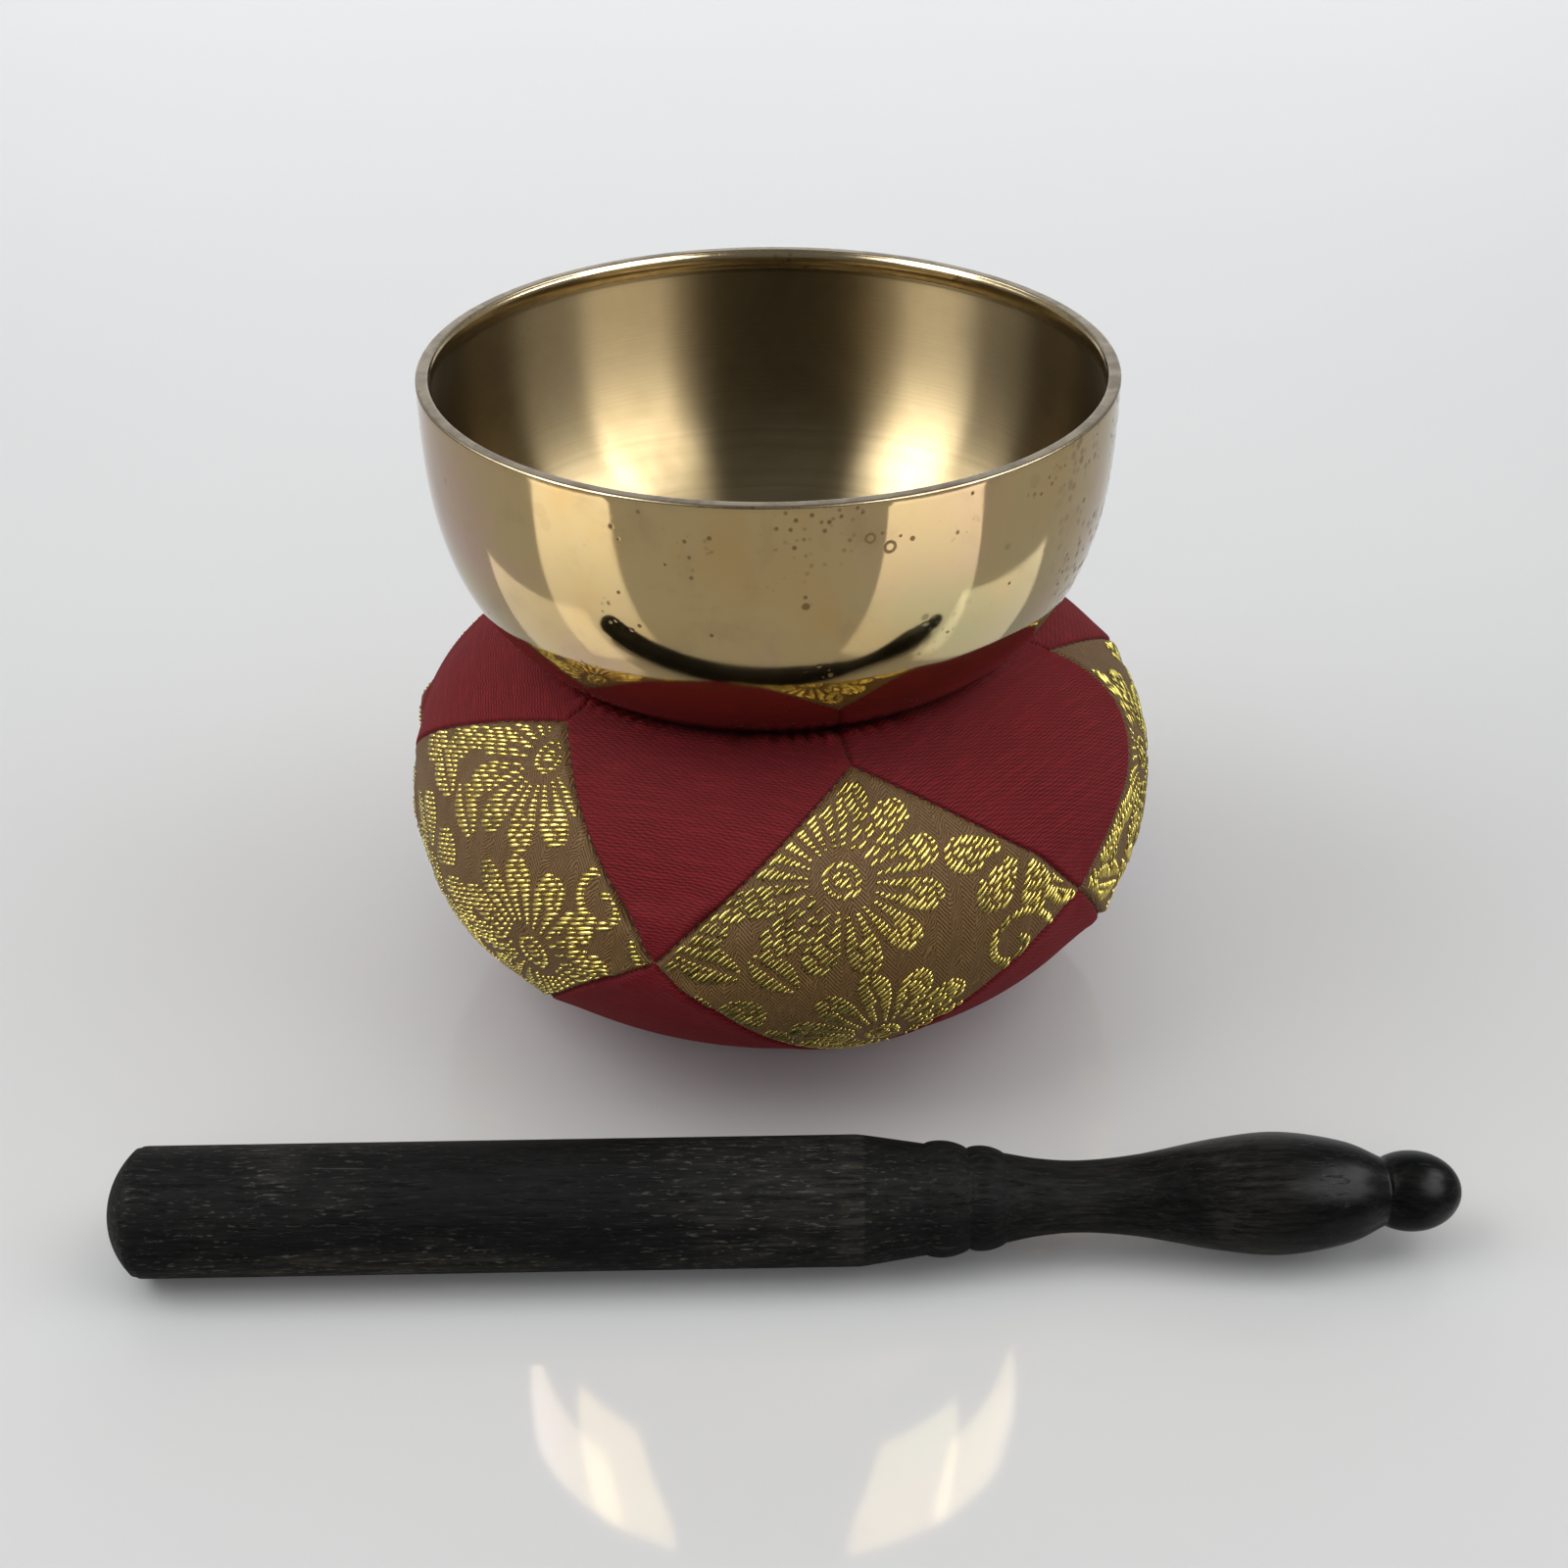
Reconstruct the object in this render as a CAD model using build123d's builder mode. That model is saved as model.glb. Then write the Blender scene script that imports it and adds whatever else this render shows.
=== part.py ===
"""Bell bowl on a round patchwork cushion, with its turned striker. Millimetres, +Z up.

The origin is the centre of the cushion's flat base, on the table. The striker lies in front of the
cushion, on the -Y side, along X. Bearings are degrees round Z from the front (-Y) towards +X.
"""

import os
from math import asin, cos, radians, sin, sqrt

from build123d import *

os.makedirs("parts", exist_ok=True)

# Bowl: a superellipse outside and inside, with a thicker lip under the flat rim.
RIM_RADIUS = 45.0
RIM_HEIGHT = 90.0  # the rim's top above the table
BOWL_DEPTH = 42.3  # outside, from the rim's top to the underside
BOWL_POWER = 3.04
BOWL_SHIFT = -1.4  # the bowl sits this far off the cushion's axis, along X
WALL = 1.4
FLOOR = 1.6
LIP_WIDTH = 1.65
LIP_HEIGHT = 2.6
LIP_TAPER = 0.8
RIM_CHAMFER = 0.3

# Cushion: a superellipse with its own height and power above and below the girdle.
GIRDLE_RADIUS = 52.75
GIRDLE_HEIGHT = 29.1
CROWN, CROWN_POWER = 27.0, 2.72
BELLY, BELLY_POWER = 30.6, 2.16
CLOTH = 0.8  # the cover with its seam allowances behind it
STUFFING_GAP = 0.1  # between the cover and the stuffing
DENT_GAP = 0.35  # clearance between the bowl and its dent
SEAM_TOPS = (-48.2, 13.6, 80.2, 156.0, 234.0)  # bearings of the diamonds' top and bottom corners
SEAM_SIDES = (-17.3, 48.6, 118.0, 195.0, 271.5)  # bearings of the corners that diamonds share
TOP_RISE, SIDE_RISE, BOTTOM_RISE = 31.0, 2.0, -26.0  # their angles above the girdle's centre

# Tufting thread
THREAD_RADIUS = 0.5
THREAD_HOLE = 0.6  # radius
KNOT_RADIUS, KNOT_HEIGHT = 1.15, 1.3
TUFT_RADIUS, TUFT_DEPTH = 1.7, 1.6
TUFT_GAP = 0.1

# Striker: turned in one piece, and lying on its cylinder.
HEAD_RADIUS = 7.95
HEAD_START, HEAD_END = -78.2, 9.4  # ends of the plain cylinder along the striker's own axis
DOME = 3.6
SHOULDER = (17.4, 6.7)
BEADS = ((22.6, 6.05, 7.0), (27.1, 5.4, 6.3))  # where each ends, its radius there and at its crest
HANDLE = ((31.4, 4.65), (36.5, 4.35), (43.4, 4.95), (53.0, 6.72), (60.8, 7.42), (68.7, 6.2))
BALL_CENTRE, BALL_LENGTH, BALL_RADIUS = 76.9, 6.2, 4.92  # an ellipse's centre and semi-axes
BALL_SWEEP = 123.0  # degrees of the ellipse, from the tip back to the notch
STRIKER_Y = -67.9
STRIKER_TURN = 1.0  # degrees about Z

DENT_FLOOR = RIM_HEIGHT - BOWL_DEPTH - DENT_GAP
TUFT_FLOOR = DENT_FLOOR - TUFT_DEPTH
BOWL_PLANE = Plane(origin=(BOWL_SHIFT, 0, 0), x_dir=(1, 0, 0), z_dir=(0, -1, 0))
BOWL_AXIS = Axis((BOWL_SHIFT, 0, 0), (0, 0, 1))
HEART = Vector(0, 0, GIRDLE_HEIGHT)  # every seam lies in a plane through this point
POINTS = 10  # points on a quarter outline


def quarter(radius, height, power, start=0.0, end=90.0):
    """Points of a superellipse's quarter at even angles, start and end in degrees."""
    points = []
    for i in range(POINTS):
        angle = radians(start + (end - start) * i / (POINTS - 1))
        c, s = cos(angle), max(sin(angle), 0.0)
        reach = ((c if c > 1e-9 else 0.0) ** power + s**power) ** (-1 / power)
        points.append((radius * reach * max(c, 0.0), height * reach * s))
    return points


def hollow_at(depth, radius, height, power):
    """The superellipse's radius at a depth below its widest level."""
    return radius * (1 - (depth / height) ** power) ** (1 / power)


def export(piece, name):
    piece.part.label = name
    export_step(piece.part, f"parts/{name}.step")


# Bowl ------------------------------------------------------------------------------------------
def bowl_curve(radius, height, top, power=BOWL_POWER):
    """A bowl's outline from its underside's centre out and up to its widest level at top."""
    points = [(r, top - z) for r, z in quarter(radius, height, power)]
    return Spline(*points[::-1], tangents=((1, 0), (0, 1)))


with BuildPart() as bowl:
    with BuildSketch(BOWL_PLANE):
        with BuildLine():
            wall_top = RIM_HEIGHT - LIP_HEIGHT - LIP_TAPER
            outside = bowl_curve(RIM_RADIUS, BOWL_DEPTH - RIM_CHAMFER, RIM_HEIGHT - RIM_CHAMFER)
            inner_radius = RIM_RADIUS - WALL
            inner_depth = wall_top - (RIM_HEIGHT - BOWL_DEPTH + FLOOR)
            inside = bowl_curve(inner_radius, inner_depth, wall_top)
            lip_radius = RIM_RADIUS - LIP_WIDTH
            Polyline(
                outside @ 1,
                (RIM_RADIUS - RIM_CHAMFER, RIM_HEIGHT),
                (lip_radius + RIM_CHAMFER, RIM_HEIGHT),
                (lip_radius, RIM_HEIGHT - RIM_CHAMFER),
                (lip_radius, RIM_HEIGHT - LIP_HEIGHT),
                inside @ 1,
            )
            Line(outside @ 0, inside @ 0)
        make_face()
    revolve(axis=BOWL_AXIS)
export(bowl, "bowl")


# Cushion ---------------------------------------------------------------------------------------
def stuffed_form(inset):
    """The cushion's solid, drawn in all round by inset, with the bowl's dent and the tuft."""
    girdle = GIRDLE_RADIUS - inset
    crown, belly = CROWN - inset, BELLY - inset
    foot = GIRDLE_HEIGHT - inset
    with BuildPart() as form:
        with BuildSketch(Plane.XZ):
            with BuildLine():
                upper = quarter(girdle, crown, CROWN_POWER)
                rise = Spline(
                    *[(r, GIRDLE_HEIGHT + z) for r, z in upper], tangents=((0, 1), (-1, 0))
                )
                foot_radius = hollow_at(foot, girdle, belly, BELLY_POWER)
                slope = (foot_radius / girdle) ** (BELLY_POWER - 1) * belly
                slope /= girdle * (foot / belly) ** (BELLY_POWER - 1)
                lower = [
                    (girdle * (1 - (t * foot / belly) ** BELLY_POWER) ** (1 / BELLY_POWER), t * foot)
                    for t in [sin(radians(90 * i / (POINTS - 1))) for i in range(POINTS)]
                ]
                fall = Spline(
                    *[(r, GIRDLE_HEIGHT - z) for r, z in lower],
                    tangents=((0, -1), (-1 / sqrt(1 + slope**2), -slope / sqrt(1 + slope**2))),
                )
                Polyline(fall @ 1, (0, inset), rise @ 1)
            make_face()
        revolve(axis=Axis.Z)
        with BuildSketch(BOWL_PLANE):
            with BuildLine():
                gap = DENT_GAP + inset
                dent = bowl_curve(RIM_RADIUS + gap, BOWL_DEPTH + gap, RIM_HEIGHT)
                Polyline(dent @ 1, (0, RIM_HEIGHT), dent @ 0)
            make_face()
        revolve(axis=BOWL_AXIS, mode=Mode.SUBTRACT)
        with BuildSketch(Plane.XY.offset(TUFT_FLOOR - inset)):
            Circle(TUFT_RADIUS + inset)
        extrude(amount=TUFT_DEPTH + CROWN, mode=Mode.SUBTRACT)
    return form.part


with BuildPart() as cover:
    add(stuffed_form(0))
    add(stuffed_form(CLOTH), mode=Mode.SUBTRACT)
    with BuildSketch():
        Circle(THREAD_HOLE)
    extrude(amount=RIM_HEIGHT, mode=Mode.SUBTRACT)


def corner(bearing, rise):
    """The direction from the cushion's heart to a seam corner."""
    a, b = radians(bearing), radians(rise)
    return Vector(cos(b) * sin(a), -cos(b) * cos(a), sin(b))


def sew_panel(name, corners):
    """Cuts one panel out of the cover, between the seam planes of its four corners."""
    with BuildPart() as panel:
        add(cover.part)
        middle = (corners[0] + corners[1] + corners[2] + corners[3]).normalized()
        for a, b in zip(corners, corners[1:] + corners[:1]):
            normal = a.cross(b)
            if normal.dot(middle) < 0:
                normal = -normal
            split(bisect_by=Plane(origin=HEART, z_dir=normal), keep=Keep.TOP)
    export(panel, name)


POLE = Vector(0, 0, 1)
tops = [corner(bearing, TOP_RISE) for bearing in SEAM_TOPS]
sides = [corner(bearing, SIDE_RISE) for bearing in SEAM_SIDES]
bottoms = [corner(bearing, BOTTOM_RISE) for bearing in SEAM_TOPS]
for i in range(5):
    after = (i + 1) % 5
    sew_panel(f"top_panel_{i + 1}", [POLE, tops[i], sides[i], tops[after]])
    sew_panel(f"brocade_panel_{i + 1}", [tops[i], sides[i], bottoms[i], sides[i - 1]])
    sew_panel(f"bottom_panel_{i + 1}", [-POLE, bottoms[i], sides[i], bottoms[after]])

with BuildPart() as cushion_filling:
    add(stuffed_form(CLOTH + STUFFING_GAP))
    with BuildSketch():
        Circle(THREAD_HOLE)
    extrude(amount=RIM_HEIGHT, mode=Mode.SUBTRACT)
export(cushion_filling, "cushion_filling")

with BuildPart() as tie_thread:
    with BuildSketch(Plane.XZ):
        with BuildLine():
            knot_foot = TUFT_FLOOR + TUFT_GAP
            Polyline(
                (THREAD_RADIUS, knot_foot),
                (THREAD_RADIUS, TUFT_GAP),
                (0, TUFT_GAP),
                (0, knot_foot + KNOT_HEIGHT),
                (THREAD_RADIUS, knot_foot + KNOT_HEIGHT),
            )
            ThreePointArc(
                (THREAD_RADIUS, knot_foot + KNOT_HEIGHT),
                (KNOT_RADIUS, knot_foot + KNOT_HEIGHT / 2),
                (THREAD_RADIUS, knot_foot),
            )
        make_face()
    revolve(axis=Axis.Z)
export(tie_thread, "tie_thread")


# Striker ---------------------------------------------------------------------------------------
turn = radians(STRIKER_TURN)
lay = Plane(
    origin=(0, STRIKER_Y, HEAD_RADIUS),
    x_dir=(cos(turn), sin(turn), 0),
    z_dir=(sin(turn), -cos(turn), 0),
)
with BuildPart() as striker:
    with BuildSketch(lay):
        with BuildLine():
            dome_radius = (HEAD_RADIUS**2 + DOME**2) / (2 * DOME)
            half_way = asin(HEAD_RADIUS / dome_radius) / 2
            ThreePointArc(
                (HEAD_START - DOME, 0),
                (HEAD_START - DOME + dome_radius * (1 - cos(half_way)), dome_radius * sin(half_way)),
                (HEAD_START, HEAD_RADIUS),
            )
            Polyline((HEAD_START, HEAD_RADIUS), (HEAD_END, HEAD_RADIUS), SHOULDER)
            start = SHOULDER
            for end, radius, crest in BEADS:
                Spline(start, ((start[0] + end) / 2, crest), (end, radius))
                start = (end, radius)
            ball = EllipticalCenterArc(
                (BALL_CENTRE, 0), BALL_LENGTH, BALL_RADIUS, start_angle=0, arc_size=BALL_SWEEP
            )
            Spline(start, *HANDLE, ball @ 1)
            Line(ball @ 0, (HEAD_START - DOME, 0))
        make_face()
    revolve(axis=Axis(lay.origin, lay.x_dir))
export(striker, "striker")
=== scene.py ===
"""Bell bowl on its stuffed patchwork cushion with a turned striker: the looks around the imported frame.

Metres, +Z up, the frame's own place and size. Lengths named *_MM are millimetres. Bearings are
degrees round Z from the front (-Y) towards +X, and a rise is degrees above level, both seen from
the cushion's heart, a point on its axis at the height of its widest level.
"""

import math
import random

import bpy
import numpy as np
from mathutils import Matrix, Vector
from mathutils.bvhtree import BVHTree
from mathutils.interpolate import poly_3d_calc


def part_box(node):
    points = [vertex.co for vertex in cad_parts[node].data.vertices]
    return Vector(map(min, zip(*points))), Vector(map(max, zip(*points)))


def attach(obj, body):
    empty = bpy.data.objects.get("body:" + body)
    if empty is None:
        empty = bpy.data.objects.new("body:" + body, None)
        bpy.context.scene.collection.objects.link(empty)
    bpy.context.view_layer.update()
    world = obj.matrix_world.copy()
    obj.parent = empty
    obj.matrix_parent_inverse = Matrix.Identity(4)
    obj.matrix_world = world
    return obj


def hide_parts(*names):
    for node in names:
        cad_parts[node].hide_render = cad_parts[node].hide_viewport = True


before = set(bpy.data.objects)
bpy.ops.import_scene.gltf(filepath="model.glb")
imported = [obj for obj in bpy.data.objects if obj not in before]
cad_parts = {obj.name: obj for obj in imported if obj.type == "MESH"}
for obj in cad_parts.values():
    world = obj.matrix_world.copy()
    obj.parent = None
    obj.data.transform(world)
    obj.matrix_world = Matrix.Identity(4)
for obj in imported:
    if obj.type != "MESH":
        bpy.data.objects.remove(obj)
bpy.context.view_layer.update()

MM = 0.001
PANELS = range(5)

# Bowl, from its CAD box. The superellipse's power and the lip are the design's own.
bowl_low, bowl_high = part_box("bowl")
BOWL_X = (bowl_low.x + bowl_high.x) / 2
RIM_RADIUS = (bowl_high.x - bowl_low.x) / 2
RIM_HEIGHT = bowl_high.z
BOWL_DEPTH = bowl_high.z - bowl_low.z
BOWL_POWER = 3.04
WALL = 1.4 * MM
FLOOR = 1.6 * MM
LIP_WIDTH = 1.65 * MM
LIP_HEIGHT = 2.6 * MM
LIP_TAPER = 0.8 * MM
LIP_SWELL = 0.34 * MM
RIM_ROUND = 0.32 * MM

# Cushion, from its CAD boxes
PANEL_BOXES = [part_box(f"brocade_panel_{i + 1}") for i in PANELS]
GIRDLE = max(high.y for low, high in PANEL_BOXES)
HEART_HEIGHT = 29.1 * MM
HEART = np.array((0.0, 0.0, HEART_HEIGHT))
CROWN, CROWN_POWER = 27.0 * MM, 2.72
BELLY, BELLY_POWER = 30.6 * MM, 2.16
DENT_GAP = 0.45 * MM
CLOTH_THICK = 0.55 * MM
TUFT_DEPTH, TUFT_SPREAD = 1.5 * MM, 2.4 * MM
FILLING_INSET = 2.4 * MM

# Corners of the patchwork: bearings of the diamonds' top and bottom corners, and of shared ones
SEAM_TOPS = (-48.2, 13.6, 80.2, 156.0, 234.0)
SEAM_SIDES = (-17.3, 48.6, 118.0, 195.0, 271.5)
TOP_RISE, SIDE_RISE, BOTTOM_RISE = 31.0, 2.0, -26.0
# How far each diamond's edges bow outwards, degrees: top right, top left, bottom right, bottom left
BOWS = (
    (1.3, 1.2, -2.5, -1.0),
    (0.2, 0.2, -4.3, 0.3),
    (0.8, -13.0, 1.0, 0.5),
    (1.5, 0.6, -1.5, 1.0),
    (0.4, 1.6, 0.8, -1.6),
)
LEAN = 1.2  # a strong bow has its deepest point this much nearer the top corner

# Unevenness of the stuffing: bearing, rise, spread in degrees, and metres outwards
SWELLS = (
    (-62, -24, 20, 1.1 * MM),
    (-88, -6, 16, -0.6 * MM),
    (62, -26, 22, -0.7 * MM),
    (120, 8, 30, 0.5 * MM),
    (185, -12, 28, 0.7 * MM),
    (240, 10, 24, -0.5 * MM),
)
RIDGE, RIDGE_WIDTH = 0.45 * MM, 2.6 * MM
GROOVE, GROOVE_WIDTH = 0.55 * MM, 0.35 * MM
COARSE = 28  # grid squares along a panel's side in the cloth simulation
FINE = 88  # and in the finished panel
PRESSURE, GATHER, STEPS = 9, 0.045, 20  # the simulation's pressure, its seams' shrink, its length
PUFF_CAP = 0.9 * MM  # the furthest that it may move a point

# Gold brocade: floats of flat gold thread in rows
ROW_PITCH = 0.63
ROW_REACH, ROW_STEP = 42, 0.08  # how far the rows run from the panel's middle, and are read at
FLOAT_WIDTH = 0.45
FLOAT_HEIGHT = 0.16
FLOAT_LENGTHS, FLOAT_GAPS = (1.3, 2.4), (0.14, 0.28)
SHORTEST, LONGEST, LEAST_REST = 0.45, 2.9, 0.7  # a rest shorter than the last joins its float
MAP_RADIUS = 50.0  # mm; the cloth's own flat coordinates, laid out round each panel's middle
FLOWER_RADIUS, FLOWER_EYE, PETALS = 13.1, 2.5, 12
SECOND_RADIUS, SECOND_PETALS = 11.6, 8
REPEAT_A, REPEAT_B = (47.8, 1.6), (5.8, -25.7)  # the pattern's repeat, mm
SECOND_FLOWER = (24.6, 1.6)
# Leaves round the flower: the foot's place, length, width, mm, and turn in radians
LEAVES = (
    (-21.5, -7.5, 10.5, 2.9, -0.45),
    (-18.5, -4.5, 9.5, 2.5, 0.35),
    (-11.6, -9.0, 8.5, 2.5, -0.75),
)
CURL_RADIUS, CURL_WIDTH = 3.7, 1.35
CURL_START, CURL_SWEEP = 10.0, 380.0  # degrees
# Curls on each panel: place in the panel's flat coordinates, turn in degrees, size, hand
CURLS = (
    (((21.4, 4.9), 62, 0.9, 1),),
    (((17.9, -3.6), 0, 1.0, 1), ((-16.9, -9.3), -38, 0.85, -1)),
    (((-13.0, -9.0), 120, 0.95, 1), ((8.0, -10.0), -30, 0.9, 1)),
    (((14.0, 6.0), 20, 1.0, 1), ((-15.0, -10.0), 160, 0.9, -1)),
    (((15.0, -7.0), -20, 1.0, 1), ((-17.0, 4.0), 190, 0.9, 1)),
)
# Where one flower of the repeat falls on each panel, and which way the rows run there, degrees
BROCADE_LAY = (
    ((5.0, 19.0), 24.0),
    ((-4.5, 9.8), 43.0),
    ((-6.0, 8.0), 74.0),
    ((-9.0, -4.0), 38.0),
    ((3.0, 12.0), 52.0),
)

# Stitches: where along one its rings are, how thick it is there, and how high it rises
STITCH_SHARES = (0, 0.2, 0.5, 0.8, 1)
STITCH_RADII = [r * MM for r in (0.09, 0.13, 0.14, 0.13, 0.09)]
STITCH_LIFT = 0.13 * MM

# Pitches of the weaves, mm
RED_YARN_U, RED_YARN_V, RED_RIB = 0.33, 0.37, 0.64
GROUND_TWILL, GROUND_RIB, HERRINGBONE = 0.62, 0.40, 1.7

# Striker, from its CAD box, turned about its own axis
striker_low, striker_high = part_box("striker")
STRIKER_TURN = 1.0
HEAD_RADIUS = (striker_high.z - striker_low.z) / 2
STRIKER_Y = -67.9 * MM
HEAD_START, HEAD_END = -78.2, 9.4
DOME = 3.6
SHOULDER = (17.4, 6.7)
BEADS = ((22.6, 6.05, 7.0), (27.1, 5.4, 6.3))
HANDLE = ((31.4, 4.65), (36.5, 4.35), (43.4, 4.95), (53.0, 6.72), (60.8, 7.42), (68.7, 6.2))
BALL_CENTRE, BALL_LENGTH, BALL_RADIUS, BALL_SWEEP = 76.9, 6.2, 4.92, 123.0

# Camera: the photograph's place and lens
CAMERA_PLACE = (0.364 * MM, -263.611 * MM, 191.331 * MM)
CAMERA_PITCH, CAMERA_ROLL = -32.184, -0.27
LENS, SENSOR = 49.5, 36.0  # mm

# Lights: bearing, rise, distance, width, height, radiance, whether it shows in reflections, roll
LIGHTS = (
    ("strip_left", -66, 36, 2.5, 1.25, 1.7, 15.0, True, 0),
    ("strip_right", 55, 36, 2.5, 1.45, 1.7, 13.5, True, 0),
    ("high_left", -97, 47, 2.5, 1.6, 1.1, 13.5, True, 20),
    ("high_right", 93, 43, 2.5, 1.4, 1.0, 15.0, True, -16),
    ("side_left", -80, 46, 1.2, 0.9, 0.8, 2.0, False, 0),
    ("side_right", 78, 46, 1.2, 0.9, 0.8, 1.35, False, 0),
    ("overhead", 0, 90, 1.3, 2.4, 0.6, 0.8, False, 0),
    ("front_fill", 0, 30, 1.2, 1.2, 0.5, 1.05, False, 0),
)
LIGHTS_AIM = (0, 0, 0.05)
# The world's brightness, rising from front to back: from and to along Y, and the strengths there
WORLD_STEPS = ((-0.75, 0.1, 0.23, 0.42), (0.70, 0.98, 0.0, 1.1))


# Mesh helpers ----------------------------------------------------------------------------------
def make_piece(name, points, faces, material=None, smooth=True, uv=None):
    """A mesh object from points (n, 3), faces, and uv as one (u, v) for each point."""
    mesh = bpy.data.meshes.new(name)
    mesh.from_pydata([tuple(p) for p in points], [], [tuple(f) for f in faces])
    mesh.update()
    mesh.polygons.foreach_set("use_smooth", [smooth] * len(mesh.polygons))
    if uv is not None:
        corners = np.empty(len(mesh.loops), dtype=np.int32)
        mesh.loops.foreach_get("vertex_index", corners)
        layer = mesh.uv_layers.new(name="weave")
        layer.data.foreach_set("uv", np.asarray(uv, dtype=np.float32)[corners].ravel())
    piece = bpy.data.objects.new(name, mesh)
    bpy.context.scene.collection.objects.link(piece)
    if material is not None:
        mesh.materials.append(material)
    return piece


def grid_faces(rows, columns, start=0):
    """Quads of a rows by columns grid of points, numbered row by row from start."""
    at = start + np.arange(rows * columns).reshape(rows, columns)
    quads = (at[:-1, :-1], at[1:, :-1], at[1:, 1:], at[:-1, 1:])
    return np.stack([q.ravel() for q in quads], axis=1)


def lathe(outline, turns, lay=None):
    """Points and faces of an outline of (radius, height) turned round Z. Poles have radius 0."""
    spin = np.linspace(0, 2 * math.pi, turns, endpoint=False)
    rings, points = [], []
    for r, h in outline:
        if r < 1e-9:
            rings.append([len(points)] * turns)
            points.append((0.0, 0.0, h))
        else:
            rings.append(range(len(points), len(points) + turns))
            points.extend((r * math.cos(a), r * math.sin(a), h) for a in spin)
    faces, bands = [], []
    for band, (low, high) in enumerate(zip(rings, rings[1:])):
        for k in range(turns):
            j = (k + 1) % turns
            quad = list(dict.fromkeys((low[k], low[j], high[j], high[k])))
            if len(quad) > 2:
                faces.append(quad)
                bands.append(band)
    points = np.array(points)
    if lay is not None:
        points = points @ np.array(lay.to_3x3()).T + np.array(lay.translation)
    return points, faces, bands


def superellipse(radius, height, power, count):
    """Radius and height from the pole down to the widest level, at even angles."""
    turn = np.linspace(math.pi / 2, 0, count)
    c, s = np.maximum(np.cos(turn), 0), np.maximum(np.sin(turn), 0)
    reach = (c**power + s**power) ** (-1 / power)
    return radius * reach * c, height * reach * s


# Node helpers ----------------------------------------------------------------------------------
class Look:
    """A material's node tree, and short ways to add and join its nodes."""

    def __init__(self, name):
        self.material = bpy.data.materials.new(name)
        self.material.use_nodes = True
        self.tree = self.material.node_tree
        self.tree.nodes.clear()
        self.shader = self.add("ShaderNodeBsdfPrincipled")
        output = self.add("ShaderNodeOutputMaterial")
        self.tree.links.new(self.shader.outputs[0], output.inputs[0])

    def add(self, kind, sockets=None, **settings):
        node = self.tree.nodes.new(kind)
        for key, value in settings.items():
            setattr(node, key, value)
        for key, value in (sockets or {}).items():
            self.feed(node.inputs[key], value)
        return node

    def feed(self, socket, value):
        if isinstance(value, bpy.types.NodeSocket):
            self.tree.links.new(value, socket)
        else:
            socket.default_value = value

    def set(self, **values):
        """Shader inputs by name, with _ for a space."""
        for key, value in values.items():
            self.feed(self.shader.inputs[key.replace("_", " ")], value)

    def place(self):
        """The point in the row frame, metres."""
        return self.add("ShaderNodeTexCoord").outputs["Object"]

    def weave(self):
        """The cloth's own flat coordinates, millimetres."""
        return self.add("ShaderNodeUVMap", uv_map="weave").outputs[0]

    def stretched(self, vector, scale=(1, 1, 1), turn=(0, 0, 0), shift=(0, 0, 0)):
        sockets = {"Vector": vector, "Scale": scale, "Rotation": turn, "Location": shift}
        return self.add("ShaderNodeMapping", sockets).outputs[0]

    def noise(self, vector, scale, detail=2.0, rough=0.5, distortion=0.0):
        sockets = {"Vector": vector, "Scale": scale, "Detail": detail, "Roughness": rough}
        return self.add("ShaderNodeTexNoise", {**sockets, "Distortion": distortion}).outputs["Fac"]

    def cells(self, vector, scale):
        sockets = {"Vector": vector, "Scale": scale}
        return self.add("ShaderNodeTexVoronoi", sockets, feature="F1").outputs["Distance"]

    def math(self, operation, *values):
        return self.add("ShaderNodeMath", dict(enumerate(values)), operation=operation).outputs[0]

    def times(self, a, b):
        return self.math("MULTIPLY", a, b)

    def plus(self, a, b):
        return self.math("ADD", a, b)

    def minus(self, a, b):
        return self.math("SUBTRACT", a, b)

    def most(self, a, b):
        return self.math("MAXIMUM", a, b)

    def wave(self, value, pitch):
        """A sine that comes round once in each pitch."""
        return self.math("SINE", self.times(value, 2 * math.pi / pitch))

    def distance(self, place, centre):
        node = self.add("ShaderNodeVectorMath", {0: place, 1: centre}, operation="DISTANCE")
        return node.outputs["Value"]

    def span(self, value, low, high, to_low=0.0, to_high=1.0):
        """value from low..high mapped smoothly to to_low..to_high."""
        sockets = {"Value": value, "From Min": low, "From Max": high, "To Min": to_low, "To Max": to_high}
        node = self.add("ShaderNodeMapRange", sockets, interpolation_type="SMOOTHSTEP")
        return node.outputs[0]

    def mix(self, share, a, b):
        node = self.add("ShaderNodeMix", data_type="RGBA", blend_type="MIX")
        for index, value in ((0, share), (6, a), (7, b)):
            self.feed(node.inputs[index], value)
        return node.outputs[2]

    def over(self, colour, other, mask, low, high, least=0.0, most=1.0):
        """colour, with other mixed in by least..most where the mask goes from low to high."""
        return self.mix(self.span(mask, low, high, least, most), colour, other)

    def parts(self, vector):
        return self.add("ShaderNodeSeparateXYZ", {0: vector}).outputs

    def join(self, x, y, z=0.0):
        return self.add("ShaderNodeCombineXYZ", {0: x, 1: y, 2: z}).outputs[0]

    def bump(self, height, distance, strength):
        sockets = {"Height": height, "Distance": distance, "Strength": strength}
        return self.add("ShaderNodeBump", sockets).outputs[0]


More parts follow.
